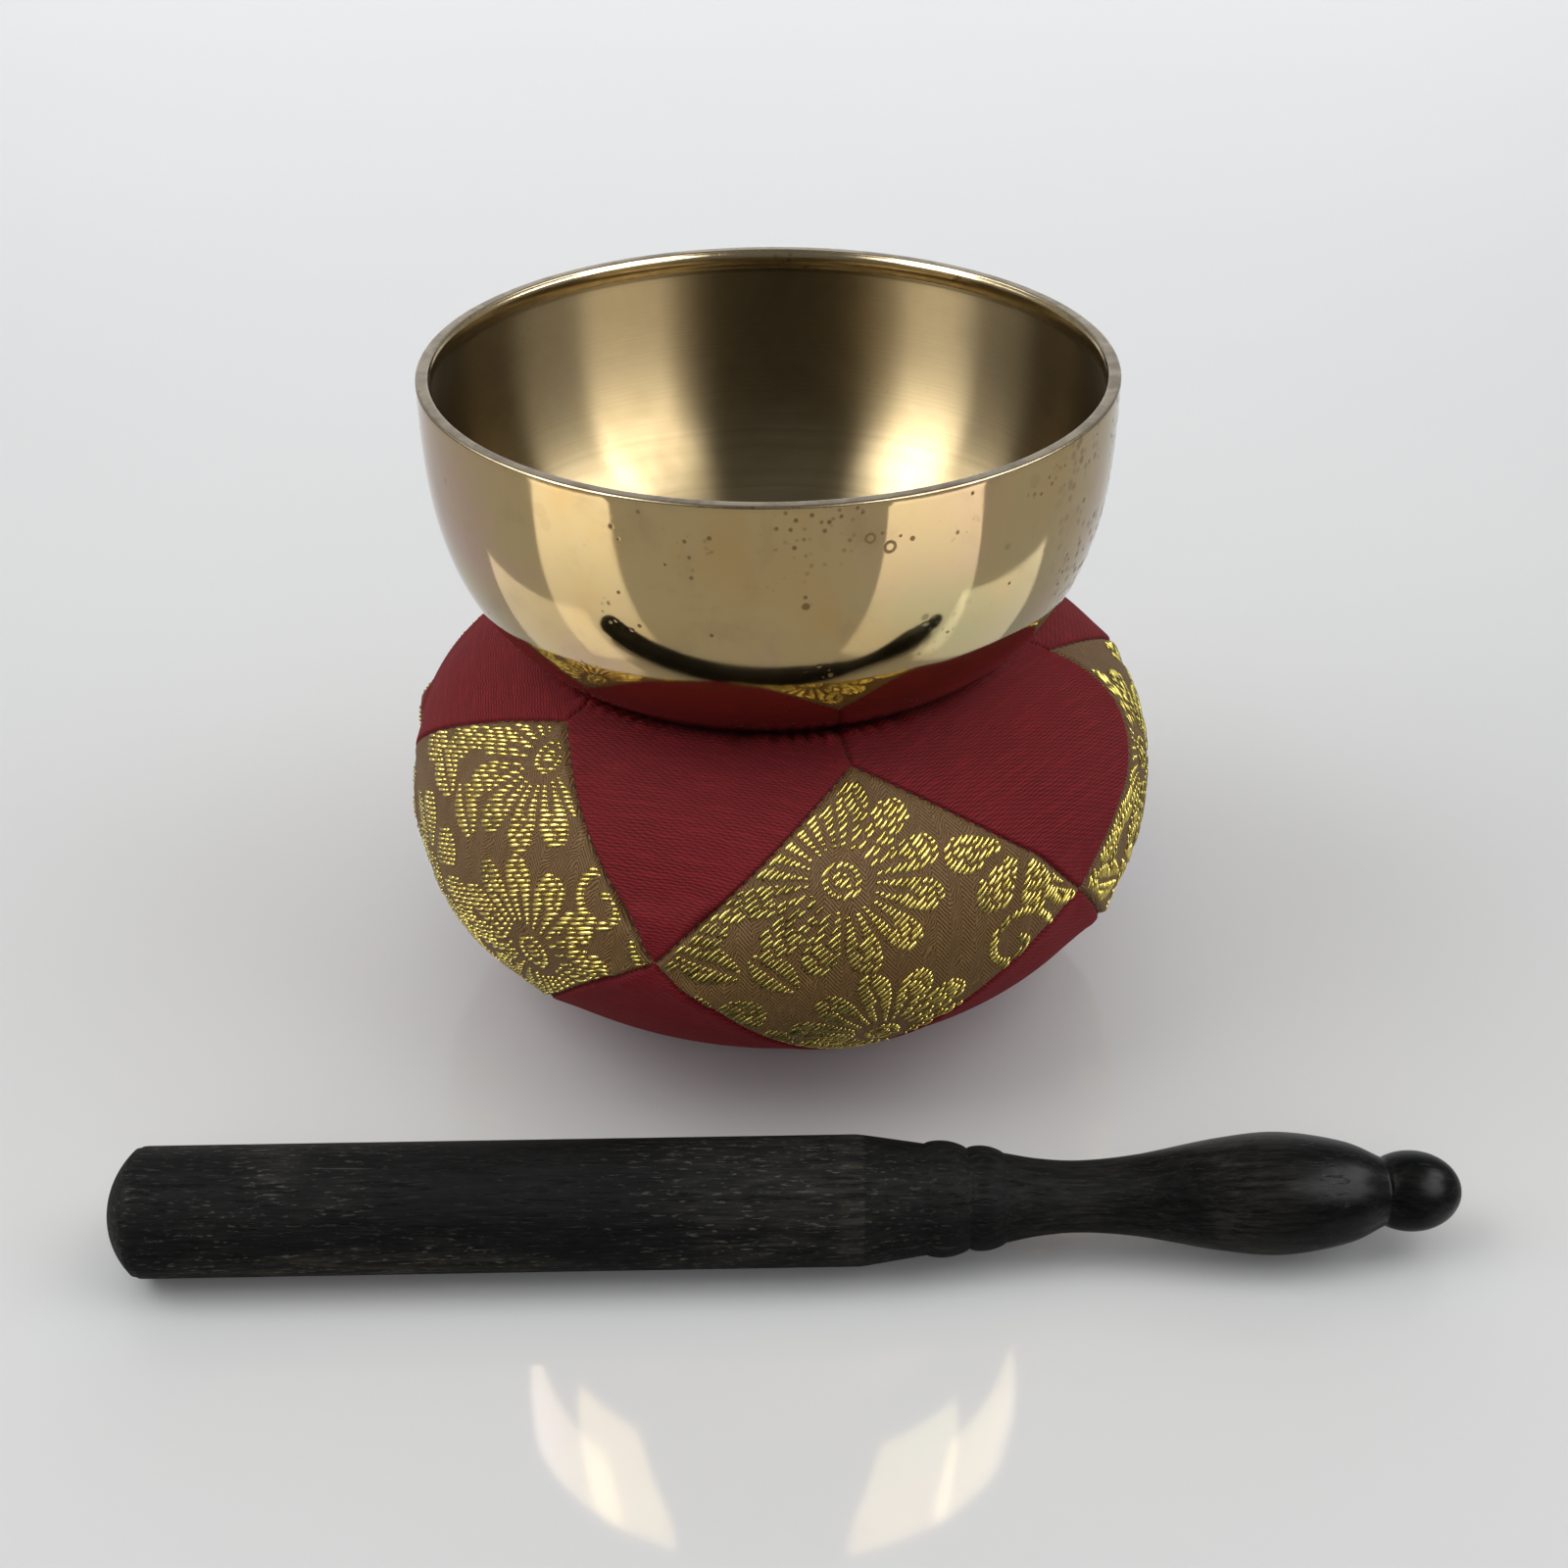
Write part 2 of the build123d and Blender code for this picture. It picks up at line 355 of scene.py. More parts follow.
# Materials -------------------------------------------------------------------------------------
BRONZE = (0.385, 0.285, 0.137, 1)
BRONZE_GREENISH = (0.33, 0.292, 0.155, 1)
BRONZE_ROSY = (0.395, 0.255, 0.182, 1)
BRONZE_AMBER = (0.375, 0.245, 0.092, 1)
BRONZE_DULL = (0.27, 0.19, 0.10, 1)
BRONZE_SPOT = (0.12, 0.07, 0.03, 1)
BRONZE_DROP = (0.30, 0.205, 0.085, 1)
SATIN_CLEAN = (0.212, 0.166, 0.093, 1)
SATIN_DARK = (0.162, 0.122, 0.063, 1)
SATIN_LINES = (0.11, 0.082, 0.042, 1)


def tarnished(look, place, strength):
    """Bronze colour with slow drifts of thin rosy, greenish and amber tarnish."""
    drift = look.noise(place, 34, 3, 0.55, 0.6)
    other = look.noise(look.stretched(place, shift=(0.31, 0.12, 0.4)), 27, 3, 0.55, 0.8)
    colour = look.mix(look.span(drift, 0.48, 0.72, 0, 0.8 * strength), BRONZE, BRONZE_ROSY)
    colour = look.over(colour, BRONZE_GREENISH, other, 0.5, 0.75, 0, 0.8 * strength)
    colour = look.over(colour, BRONZE_AMBER, drift, 0.46, 0.26, 0, 0.7 * strength)
    fine = look.noise(place, 130, 4, 0.62, 0.4)
    return look.mix(look.span(fine, 0.5, 0.72, 0, 0.3 * strength), colour, BRONZE_DULL)


def pits(look, place, scale, size, keep, seed):
    """A mask of small dots, of which only those in noisy patches stay."""
    moved = look.stretched(place, shift=(seed, 0.7 * seed, 0.3 * seed))
    dots = look.span(look.cells(moved, scale), size, 0.35 * size)
    patch = look.span(look.noise(moved, 0.11 * scale, 3, 0.6), keep, keep + 0.08)
    return look.times(dots, patch)


def spot_mask(look, place, spots):
    """A mask of marks on the bowl's wall, of which those with a negative radius are rings."""
    total = None
    for bearing, height, radius in spots:
        turn = math.radians(bearing)
        depth = RIM_HEIGHT - height * MM
        reach = RIM_RADIUS * (1 - (depth / BOWL_DEPTH) ** BOWL_POWER) ** (1 / BOWL_POWER)
        centre = (BOWL_X + reach * math.sin(turn), -reach * math.cos(turn), height * MM)
        gap = look.distance(place, centre)
        size = abs(radius) * MM
        if radius < 0:
            edge = look.math("ABSOLUTE", look.minus(gap, 0.75 * size))
            mark = look.span(edge, 0.35 * size, 0.1 * size)
        else:
            mark = look.span(gap, size, 0.6 * size)
        total = mark if total is None else look.most(total, mark)
    return total


# Marks outside the bowl as (bearing, height mm, radius mm): ring and round spots, then pale drops
SPOTS = (
    (15.0, 85.4, -0.72), (18.0, 84.0, -0.85), (16.8, 85.9, 0.35), (21.5, 84.6, 0.42), (19.6, 85.2, 0.25),
    (5.6, 77.3, 0.6), (-8.3, 86.0, 0.35), (-18.8, 88.4, 0.3), (-19.8, 73.4, 0.32), (-8.5, 73.2, 0.3),
    (-22.7, 77.6, 0.28), (-15.0, 82.2, 0.22), (40.3, 74.8, 0.3), (31.3, 88.6, 0.3), (59.0, 80.6, 0.45),
    (130.0, 80.0, -0.8), (150.0, 74.0, 0.5), (205.0, 85.0, 0.5), (232.0, 72.0, 0.35), (260.0, 81.0, 0.4),
)
DROPS = (
    (-35.7, 85.8, 1.25), (-34.8, 84.3, 1.1), (43.8, 87.4, 1.15), (97.0, 84.0, 1.2), (212.0, 86.0, 1.1),
)


def bronze_outside():
    """Polished bronze with thin tarnish, pits, a few ring spots and drops."""
    look = Look("bronze_outside")
    place = look.place()
    colour = tarnished(look, place, 1.2)
    fine = pits(look, place, 900, 0.36, 0.57, 0.2)
    coarse = pits(look, place, 420, 0.30, 0.62, 0.9)
    x, y, _ = look.parts(place)
    side = look.times(look.span(x, 0.031, 0.039), look.span(y, 0.0, -0.012))
    speckled = look.times(side, pits(look, place, 640, 0.52, 0.40, 0.5))
    spots = spot_mask(look, place, SPOTS)
    drops = spot_mask(look, place, DROPS)
    marks = look.most(look.most(fine, coarse), speckled)
    colour = look.mix(look.times(marks, 0.85), colour, BRONZE_SPOT)
    colour = look.mix(look.times(spots, 0.8), colour, BRONZE_SPOT)
    colour = look.mix(look.times(drops, 0.35), colour, BRONZE_DROP)
    haze = look.noise(place, 60, 4, 0.6)
    rough = look.span(haze, 0.3, 0.75, 0.03, 0.105)
    rough = look.plus(rough, look.times(look.most(marks, spots), 0.35))
    streaks = look.noise(look.stretched(place, (1, 1, 26)), 90, 3, 0.6)
    height = look.minus(look.times(streaks, 0.05), marks)
    look.set(
        Base_Color=colour, Metallic=1.0, Roughness=rough, Normal=look.bump(height, 0.00004, 0.5)
    )
    return look.material


def turned_lines(look, place):
    """Fine uneven lines left by the turning, as noise along the outline only."""
    x, y, z = look.parts(place)
    side = look.minus(x, BOWL_X)
    squares = look.plus(look.math("POWER", side, 2.0), look.math("POWER", y, 2.0))
    radius = look.math("SQRT", squares)
    along = look.minus(look.times(z, 0.8), radius)
    wander = look.times(look.noise(place, 40, 2), 0.0005)
    return look.plus(along, wander)


def bronze_inside():
    """Turned, unpolished bronze: a satin that draws each light out across its grooves."""
    look = Look("bronze_inside")
    place = look.place()
    line = turned_lines(look, place)
    lines = look.noise(look.join(line, 0.0, 0.0), 5200, 3, 0.7)
    broad = look.noise(look.join(line, 0.4, 0.0), 700, 2, 0.6)
    cloudy = look.noise(place, 42, 4, 0.62, 0.5)
    colour = look.mix(look.span(cloudy, 0.35, 0.7), SATIN_CLEAN, SATIN_DARK)
    colour = look.over(colour, SATIN_LINES, lines, 0.35, 0.75, 0, 0.35)
    small, large = pits(look, place, 700, 0.34, 0.60, 0.4), pits(look, place, 330, 0.26, 0.63, 1.3)
    dots = look.most(small, large)
    colour = look.mix(look.times(dots, 0.4), colour, BRONZE_SPOT)
    rough = look.plus(look.span(cloudy, 0.3, 0.7, 0.285, 0.34), look.times(dots, 0.06))
    height = look.plus(look.times(lines, 0.6), look.times(broad, 1.2))
    tangent = look.add("ShaderNodeTangent", direction_type="RADIAL", axis="Z")
    look.set(
        Base_Color=colour, Metallic=1.0, Roughness=rough, Anisotropic=1.0, Anisotropic_Rotation=0.25,
        Tangent=tangent.outputs[0], Normal=look.bump(height, 0.00002, 0.35),
    )
    return look.material


def scraped_bronze(name, clean, dark, smooth, rough):
    """Bronze scraped and rubbed to an uneven satin, for the rim's flat and the lip's side."""
    look = Look(name)
    place = look.place()
    line = turned_lines(look, place)
    lines = look.noise(look.join(line, 0.0, 0.0), 9000, 2, 0.6)
    dullness = look.noise(place, 260, 4, 0.65, 0.4)
    colour = look.mix(look.span(dullness, 0.4, 0.7), clean, dark)
    nicks = pits(look, place, 800, 0.4, 0.56, 0.8)
    colour = look.mix(look.times(nicks, 0.7), colour, BRONZE_SPOT)
    height = look.minus(look.times(lines, 0.4), nicks)
    look.set(
        Base_Color=colour, Metallic=1.0, Roughness=look.span(dullness, 0.3, 0.7, smooth, rough),
        Normal=look.bump(height, 0.00003, 0.5),
    )
    return look.material


def red_cloth():
    """Crimson plain weave with thicker cross yarns, so that it shows faint slanting ribs."""
    look = Look("red_cloth")
    uv = look.weave()
    u, v, _ = look.parts(uv)
    drift = look.minus(look.noise(uv, 0.35, 3), 0.5)
    bent_u, bent_v = look.plus(u, drift), look.plus(v, look.times(drift, 0.7))
    wave_v = look.wave(bent_v, 2 * RED_YARN_V)
    over = look.times(look.wave(bent_u, 2 * RED_YARN_U), wave_v)
    long_v = look.join(look.times(bent_u, 0.12), look.times(bent_v, 1.9))
    long_u = look.join(look.times(bent_u, 2.1), look.times(bent_v, 0.10))
    streak_v, streak_u = look.noise(long_v, 1.0, 3, 0.6), look.noise(long_u, 1.0, 3, 0.6)
    rib = look.math("ABSOLUTE", wave_v)
    crowns = look.plus(look.times(rib, 0.50), look.times(look.math("ABSOLUTE", over), 0.4))
    lines = look.wave(look.plus(look.times(u, 0.45), v), RED_RIB)
    crowns = look.plus(crowns, look.times(lines, 0.19))
    colour = look.mix(look.span(crowns, 0.1, 1.0), (0.070, 0.0028, 0.0048, 1), (0.262, 0.0112, 0.0172, 1))
    colour = look.over(colour, (0.36, 0.019, 0.027, 1), streak_v, 0.45, 0.75, 0, 0.35)
    colour = look.over(colour, (0.17, 0.0055, 0.011, 1), streak_u, 0.5, 0.8, 0, 0.35)
    shade = look.noise(uv, 0.06, 3, 0.5)
    colour = look.over(colour, (0.20, 0.008, 0.013, 1), shade, 0.35, 0.7, 0.0, 0.3)
    fuzz = look.noise(uv, 3.1, 4, 0.7)
    height = look.plus(look.times(crowns, 0.9), look.times(fuzz, 0.35))
    look.set(
        Base_Color=colour, Roughness=0.85, Specular_IOR_Level=0.08, Sheen_Weight=0.03, Sheen_Roughness=0.4,
        Sheen_Tint=(1.0, 0.4, 0.36, 1), Normal=look.bump(height, 0.00012, 0.75),
    )
    return look.material


def brocade_ground():
    """The brocade's brown ground: a herringbone twill in silk, with a soft gloss."""
    look = Look("brocade_ground")
    uv = look.weave()
    u, v, _ = look.parts(uv)
    drift = look.times(look.minus(look.noise(uv, 0.3, 3), 0.5), 1.6)
    u, v = look.plus(u, drift), look.minus(v, drift)
    chevron = look.math("PINGPONG", u, HERRINGBONE)
    twill = look.wave(look.plus(v, look.times(chevron, 1.35)), GROUND_TWILL)
    rib = look.wave(u, GROUND_RIB)
    threads = look.plus(look.times(twill, 0.42), look.times(rib, 0.12))
    threads = look.plus(threads, 0.5)
    grain = look.noise(look.join(look.times(u, 2.6), look.times(v, 0.45)), 1.0, 4, 0.7)
    colour = look.mix(look.span(threads, 0.1, 0.95), (0.078, 0.038, 0.009, 1), (0.25, 0.138, 0.041, 1))
    colour = look.over(colour, (0.30, 0.165, 0.060, 1), grain, 0.45, 0.75, 0, 0.55)
    shade = look.noise(uv, 0.08, 3, 0.5)
    colour = look.over(colour, (0.115, 0.055, 0.015, 1), shade, 0.35, 0.7, 0.0, 0.45)
    fuzz = look.noise(uv, 3.4, 4, 0.7)
    height = look.plus(threads, look.times(fuzz, 0.4))
    look.set(
        Base_Color=colour, Roughness=0.6, Specular_IOR_Level=0.12, Sheen_Weight=0.04, Sheen_Roughness=0.4,
        Sheen_Tint=(1.0, 0.85, 0.6, 1), Normal=look.bump(height, 0.00012, 0.8),
    )
    return look.material


# Where the gilt is painted dull as shade, standing in for floats turned away from the lights: centre, and the
# distances at which it is fully and not at all so
GOLD_PAINTED_SHADE = (
    ((-0.004, -0.051, 0.030), 0.012, 0.021),
    ((0.055, 0.004, 0.030), 0.016, 0.034),
    ((-0.053, -0.002, 0.030), 0.010, 0.021),
)


def gold_thread():
    """Flat gilt thread, each float a little different."""
    look = Look("gold_thread")
    uv = look.weave()
    place = look.place()
    tone = look.noise(look.stretched(uv, (0.35, 1.3, 1)), 1.0, 3, 0.6)
    colour = look.mix(look.span(tone, 0.3, 0.72), (0.33, 0.25, 0.045, 1), (0.70, 0.58, 0.155, 1))
    # dullness: random wear of the gilt, plus painted shade round the listed centres, where the front flower's
    # floats face away from the lights
    dullness = look.span(look.noise(place, 95, 3, 0.6), 0.5, 0.66, 0, 0.75)
    for centre, near, far in GOLD_PAINTED_SHADE:
        dullness = look.most(dullness, look.span(look.distance(place, centre), far, near, 0, 0.95))
    dull = look.mix(look.span(tone, 0.35, 0.7), (0.075, 0.062, 0.014, 1), (0.30, 0.25, 0.065, 1))
    colour = look.mix(dullness, colour, dull)
    fine = look.noise(uv, 9.0, 2, 0.6)
    look.set(
        Base_Color=colour, Metallic=1.0, Roughness=look.span(tone, 0.3, 0.7, 0.24, 0.40),
        Normal=look.bump(fine, 0.00004, 0.5),
    )
    return look.material


def seam_thread():
    """Dark sewing thread, twisted."""
    look = Look("seam_thread")
    uv = look.weave()
    u, v, _ = look.parts(uv)
    twist = look.math("SINE", look.times(look.plus(u, v), 18.0))
    tone = look.noise(uv, 2.0, 2)
    colour = look.mix(look.span(tone, 0.3, 0.7), (0.060, 0.012, 0.012, 1), (0.115, 0.045, 0.022, 1))
    look.set(
        Base_Color=colour, Roughness=0.75, Specular_IOR_Level=0.1, Normal=look.bump(twist, 0.00003, 0.6)
    )
    return look.material


def tie_cord():
    """Waxed red tufting cord."""
    look = Look("tie_cord")
    place = look.place()
    strands = look.noise(look.stretched(place, (1, 1, 0.35), turn=(0.5, 0.3, 0)), 5200, 2)
    colour = look.mix(look.span(strands, 0.35, 0.65), (0.11, 0.008, 0.012, 1), (0.30, 0.024, 0.032, 1))
    look.set(
        Base_Color=colour, Roughness=0.62, Sheen_Weight=0.15, Normal=look.bump(strands, 0.00006, 0.7)
    )
    return look.material


def stuffing():
    """Off-white cotton wadding."""
    look = Look("stuffing")
    place = look.place()
    tufts = look.noise(place, 420, 5, 0.7, 1.2)
    colour = look.mix(look.span(tufts, 0.3, 0.7), (0.50, 0.46, 0.38, 1), (0.78, 0.74, 0.66, 1))
    look.set(
        Base_Color=colour, Roughness=0.95, Sheen_Weight=0.3, Normal=look.bump(tufts, 0.0006, 0.8)
    )
    return look.material


def black_wood():
    """Black-stained turned wood, worn brown where hands and the bowl rub it."""
    look = Look("black_wood")
    place = look.place()
    x = look.parts(place)[0]
    grain = look.noise(look.stretched(place, (0.085, 1, 1)), 1500, 4, 0.72, 0.3)
    pores = look.noise(look.stretched(place, (0.10, 1, 1), shift=(0.2, 0.1, 0.3)), 1500, 3, 0.7)
    wear = look.noise(look.stretched(place, (0.45, 1, 1), shift=(0.05, 0.4, 0.2)), 62, 4, 0.62, 0.5)
    band = look.times(look.span(x, 0.0052, 0.0072), look.span(x, 0.0101, 0.0094))
    head = look.span(x, 0.012, -0.002, 0.35, 1.0)
    grip = look.times(look.span(x, 0.048, 0.054), look.span(x, 0.066, 0.058))
    rubbed = look.times(look.span(wear, 0.42, 0.68), head)
    rubbed = look.most(rubbed, look.times(grip, look.span(wear, 0.3, 0.6, 0.1, 0.75)))
    rubbed = look.most(rubbed, look.times(band, look.span(wear, 0.3, 0.6, 0.35, 0.9)))
    colour = look.mix(look.span(grain, 0.3, 0.75), (0.0019, 0.0021, 0.0022, 1), (0.0080, 0.0084, 0.0083, 1))
    brown = look.mix(look.span(grain, 0.35, 0.7), (0.011, 0.0107, 0.0092, 1), (0.046, 0.042, 0.032, 1))
    colour = look.mix(look.times(rubbed, look.span(pores, 0.35, 0.62, 0.25, 1.0)), colour, brown)
    short = look.stretched(place, (0.20, 1, 1), shift=(0.6, 0.2, 0.1))
    dashes = look.span(look.noise(short, 3000, 3, 0.6), 0.57, 0.68)
    dashes = look.times(dashes, look.span(wear, 0.33, 0.55, 0.15, 1.0))
    dashes = look.times(dashes, look.span(x, 0.03, 0.0, 0.15, 0.8))
    colour = look.mix(dashes, colour, (0.080, 0.075, 0.060, 1))
    scratches = None
    for tilt, shift in ((0.5, 0.1), (-0.7, 0.45), (1.2, 0.8)):
        turn, moved = (0.2, 0.4 * tilt, tilt), (shift, 0.3 * shift, 0)
        lane = look.stretched(place, (0.05, 1.0, 0.22), turn, moved)
        mark = look.span(look.noise(lane, 900, 1, 0.4), 0.775, 0.81)
        scratches = mark if scratches is None else look.most(scratches, mark)
    colour = look.mix(look.times(scratches, 0.55), colour, (0.10, 0.092, 0.078, 1))
    satin = look.span(x, 0.030, 0.052, 0.62, 0.27)
    rough = look.plus(satin, look.times(rubbed, 0.14))
    height = look.minus(look.times(grain, 0.7), look.span(pores, 0.42, 0.30))
    height = look.times(height, look.span(x, 0.032, 0.056, 1.0, 0.25))
    look.set(
        Base_Color=colour, Roughness=rough, Specular_IOR_Level=0.04, Normal=look.bump(height, 0.00022, 0.7)
    )
    return look.material


# Bowl ------------------------------------------------------------------------------------------
def bowl_outline():
    """The bowl's outline from the underside's centre, round the rim, to the inside's centre, with
    the bands where the rim, the lip's side and the inside begin."""
    r, h = superellipse(RIM_RADIUS, BOWL_DEPTH - RIM_ROUND, BOWL_POWER, 84)
    outside = [(a, RIM_HEIGHT - RIM_ROUND - b) for a, b in zip(r, h)]
    lip = RIM_RADIUS - LIP_WIDTH
    arc = [math.radians(a) for a in range(15, 91, 15)]
    rim = [
        (RIM_RADIUS - RIM_ROUND * (1 - math.cos(a)), RIM_HEIGHT - RIM_ROUND * (1 - math.sin(a)))
        for a in arc
    ]
    rim += [(lip + LIP_WIDTH * share, RIM_HEIGHT) for share in (0.62, 0.5, 0.38)]
    rim += [
        (lip + RIM_ROUND * (1 - math.sin(a)), RIM_HEIGHT - RIM_ROUND * (1 - math.cos(a)))
        for a in [0, *arc]
    ]
    wall_top = RIM_HEIGHT - LIP_HEIGHT - LIP_TAPER
    lip_side = [
        (lip - LIP_SWELL * math.sin(math.pi * share), RIM_HEIGHT - LIP_HEIGHT * share)
        for share in (0.18, 0.26, 0.36, 0.46, 0.58, 0.7, 0.85)
    ]
    taper = [(0.0, 0.0), (0.03, 0.12), (0.15, 0.3), (0.5, 0.5), (0.85, 0.7), (0.97, 0.88)]
    inner = RIM_RADIUS - WALL
    lip_side += [
        (lip + (inner - lip) * out, RIM_HEIGHT - LIP_HEIGHT - LIP_TAPER * down) for out, down in taper
    ]
    r, h = superellipse(inner, wall_top - (RIM_HEIGHT - BOWL_DEPTH + FLOOR), BOWL_POWER, 84)
    inside = [(a, wall_top - b) for a, b in zip(r, h)][::-1]
    outline = outside + rim + lip_side + inside
    outline = [(max(a, 0.0), b) for a, b in outline]
    ends = np.cumsum([len(outside) + 1, len(rim) - 4, len(lip_side) - len(taper) + 4])
    return outline, *ends


def make_bowl():
    outline, rim_start, rim_end, lip_end = bowl_outline()
    points, faces, bands = lathe(outline, 300, Matrix.Translation((BOWL_X, 0, 0)))
    rim = scraped_bronze("bronze_rim", (0.188, 0.150, 0.096, 1), (0.117, 0.090, 0.055, 1), 0.22, 0.36)
    lip = scraped_bronze("bronze_lip", (0.38, 0.305, 0.18, 1), (0.28, 0.215, 0.12, 1), 0.13, 0.24)
    bowl = make_piece("bronze_bowl", points, faces, bronze_outside())
    for material in (rim, bronze_inside(), lip):
        bowl.data.materials.append(material)
    outside, on_rim, inside_wall, on_lip = range(4)
    slots = [
        inside_wall if b >= lip_end else on_lip if b >= rim_end else on_rim if b >= rim_start - 1 else outside
        for b in bands
    ]
    bowl.data.polygons.foreach_set("material_index", slots)
    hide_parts("bowl")
    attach(bowl, "bowl")


# Striker ---------------------------------------------------------------------------------------
def smooth_path(points, per_span):
    """A Catmull-Rom curve through points, with per_span steps in each span."""
    p = np.array([2 * np.array(points[0]) - points[1], *points, 2 * np.array(points[-1]) - points[-2]])
    made = []
    for a, b, c, d in zip(p, p[1:], p[2:], p[3:]):
        for t in np.arange(per_span) / per_span:
            square, cube = 2 * a - 5 * b + 4 * c - d, 3 * b - a - 3 * c + d
            made.append(0.5 * (2 * b + (c - a) * t + square * t**2 + cube * t**3))
    return made + [p[-2]]


def striker_outline():
    """(along, radius) in millimetres, from the dome's pole to the ball's."""
    radius = HEAD_RADIUS / MM
    dome_radius = (radius**2 + DOME**2) / (2 * DOME)
    full = math.asin(radius / dome_radius)
    start = HEAD_START - DOME
    outline = [
        (start + dome_radius * (1 - math.cos(a)), dome_radius * math.sin(a))
        for a in np.linspace(0, 0.96 * full, 18)
    ]
    outline += [(HEAD_START + 0.15, radius - 0.18), (HEAD_START + 0.45, radius - 0.03)]
    outline += [(x, radius) for x in np.linspace(HEAD_START + 1.0, HEAD_END - 0.3, 90)]
    slope = (SHOULDER[1] - radius) / (SHOULDER[0] - HEAD_END)
    shoulder = np.linspace(HEAD_END, SHOULDER[0], 12)[1:]
    outline += [(x, radius + slope * (x - HEAD_END)) for x in shoulder]
    last = SHOULDER
    for end, foot, crest in BEADS:
        for t in np.linspace(0, 1, 14)[1:]:
            base = last[1] + (foot - last[1]) * t
            rise = crest - (last[1] + foot) / 2
            outline.append((last[0] + (end - last[0]) * t, base + rise * math.sin(math.pi * t) ** 0.7))
        last = (end, foot)
    sweep = np.radians(np.linspace(BALL_SWEEP, 0, 30))
    ball = [(BALL_CENTRE + BALL_LENGTH * math.cos(a), BALL_RADIUS * math.sin(a)) for a in sweep]
    outline += [tuple(p) for p in smooth_path([last, *HANDLE, ball[0]], 16)[1:]]
    outline += ball[1:-1] + [(BALL_CENTRE + BALL_LENGTH, 0.0)]
    return outline


def make_striker():
    outline = [(r * MM, x * MM) for x, r in striker_outline()]
    turn = Matrix.Rotation(math.radians(STRIKER_TURN), 4, "Z") @ Matrix.Rotation(math.pi / 2, 4, "Y")
    lay = Matrix.Translation((0, STRIKER_Y, HEAD_RADIUS)) @ turn
    points, faces, _ = lathe(outline, 144, lay)
    striker = make_piece("wooden_striker", points, faces, black_wood())
    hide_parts("striker")
    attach(striker, "striker")


# Cushion form ----------------------------------------------------------------------------------
def direction(bearing, rise):
    """The unit vector from the heart at a bearing and a rise."""
    b, r = math.radians(bearing), math.radians(rise)
    return np.array((math.cos(r) * math.sin(b), -math.cos(r) * math.cos(b), math.sin(r)))


def unit(v):
    return v / np.linalg.norm(v, axis=-1, keepdims=True)


def soft_min(a, b, width):
    low = np.minimum(a, b)
    return low - width * np.log(np.exp(-(a - low) / width) + np.exp(-(b - low) / width))


def swelling(ways):
    """The stuffing's unevenness in each direction, metres outwards."""
    total = np.zeros(len(ways))
    for bearing, rise, spread, amount in SWELLS:
        angle = np.degrees(np.arccos(np.clip(ways @ direction(bearing, rise), -1, 1)))
        total += amount * np.exp(-((angle / spread) ** 2))
    return total


def reach(ways, gap=DENT_GAP):
    """How far the stuffed form goes from the heart along unit directions, and how much of the
    surface there is free: 1 away from the bowl's dent and the flat base, and 0 in them. The dent
    stays gap away from the bowl."""
    level, up = np.hypot(ways[:, 0], ways[:, 1]), ways[:, 2]
    height = np.where(up >= 0, CROWN, BELLY)
    power = np.where(up >= 0, CROWN_POWER, BELLY_POWER)
    form = ((level / GIRDLE) ** power + (np.abs(up) / height) ** power) ** (-1 / power)
    form += swelling(ways)
    base = np.where(up < 0, HEART_HEIGHT / np.maximum(-up, 1e-3), 1.0)
    beyond = form + 3 * MM
    low, high = np.zeros(len(ways)), beyond

    def outside_bowl(s):
        p = HEART + ways * s[:, None]
        across = np.hypot(p[:, 0] - BOWL_X, p[:, 1]) / (RIM_RADIUS + gap)
        down = np.maximum(RIM_HEIGHT - p[:, 2], 0) / (BOWL_DEPTH + gap)
        return across**BOWL_POWER + down**BOWL_POWER > 1

    misses = outside_bowl(high)
    for _ in range(40):
        middle = (low + high) / 2
        out = outside_bowl(middle)
        low, high = np.where(out, middle, low), np.where(out, high, middle)
    dent = np.where(misses, beyond, low)
    free = np.clip((np.minimum(dent, base) - form) / (3 * MM), 0, 1)
    s = soft_min(soft_min(form, dent, 0.7 * MM), base, 0.4 * MM)
    off_axis = np.where(up > 0, level * s, 1.0)
    return s - TUFT_DEPTH * np.exp(-((off_axis / TUFT_SPREAD) ** 2)), free


def seam_line(a, b, bow, away):
    """A seam from corner a to b as directions, bowed by bow degrees away from the direction away."""
    def at(t):
        straight = unit(a[None, :] * (1 - t)[:, None] + b[None, :] * t[:, None])
        side = unit(np.cross(a, b))
        side = side if side @ away < 0 else -side
        shape = 4 * t * (1 - t) * (1 - t) ** (LEAN if abs(bow) > 6 else 0.0)
        return unit(straight + side[None, :] * (math.radians(bow) * shape)[:, None])
    return at


TOPS = [direction(b, TOP_RISE) for b in SEAM_TOPS]
SIDES = [direction(b, SIDE_RISE) for b in SEAM_SIDES]
BOTTOMS = [direction(b, BOTTOM_RISE) for b in SEAM_TOPS]
POLE = np.array((0.0, 0.0, 1.0))


def all_seams():
    """Every seam once, by the names of its two corners."""
    seams = {}
    for i in PANELS:
        right, left = SIDES[i], SIDES[i - 1]
        middle = unit(TOPS[i] + BOTTOMS[i] + right + left)
        bows = BOWS[i]
        seams["T", i, "S", i] = seam_line(TOPS[i], right, bows[0], middle)
        seams["T", i, "S", (i - 1) % 5] = seam_line(TOPS[i], left, bows[1], middle)
        seams["B", i, "S", i] = seam_line(BOTTOMS[i], right, bows[2], middle)
        seams["B", i, "S", (i - 1) % 5] = seam_line(BOTTOMS[i], left, bows[3], middle)
        seams["P", 0, "T", i] = seam_line(POLE, TOPS[i], 0, middle)
        seams["N", 0, "B", i] = seam_line(-POLE, BOTTOMS[i], 0, middle)
    return seams


SEAMS = all_seams()


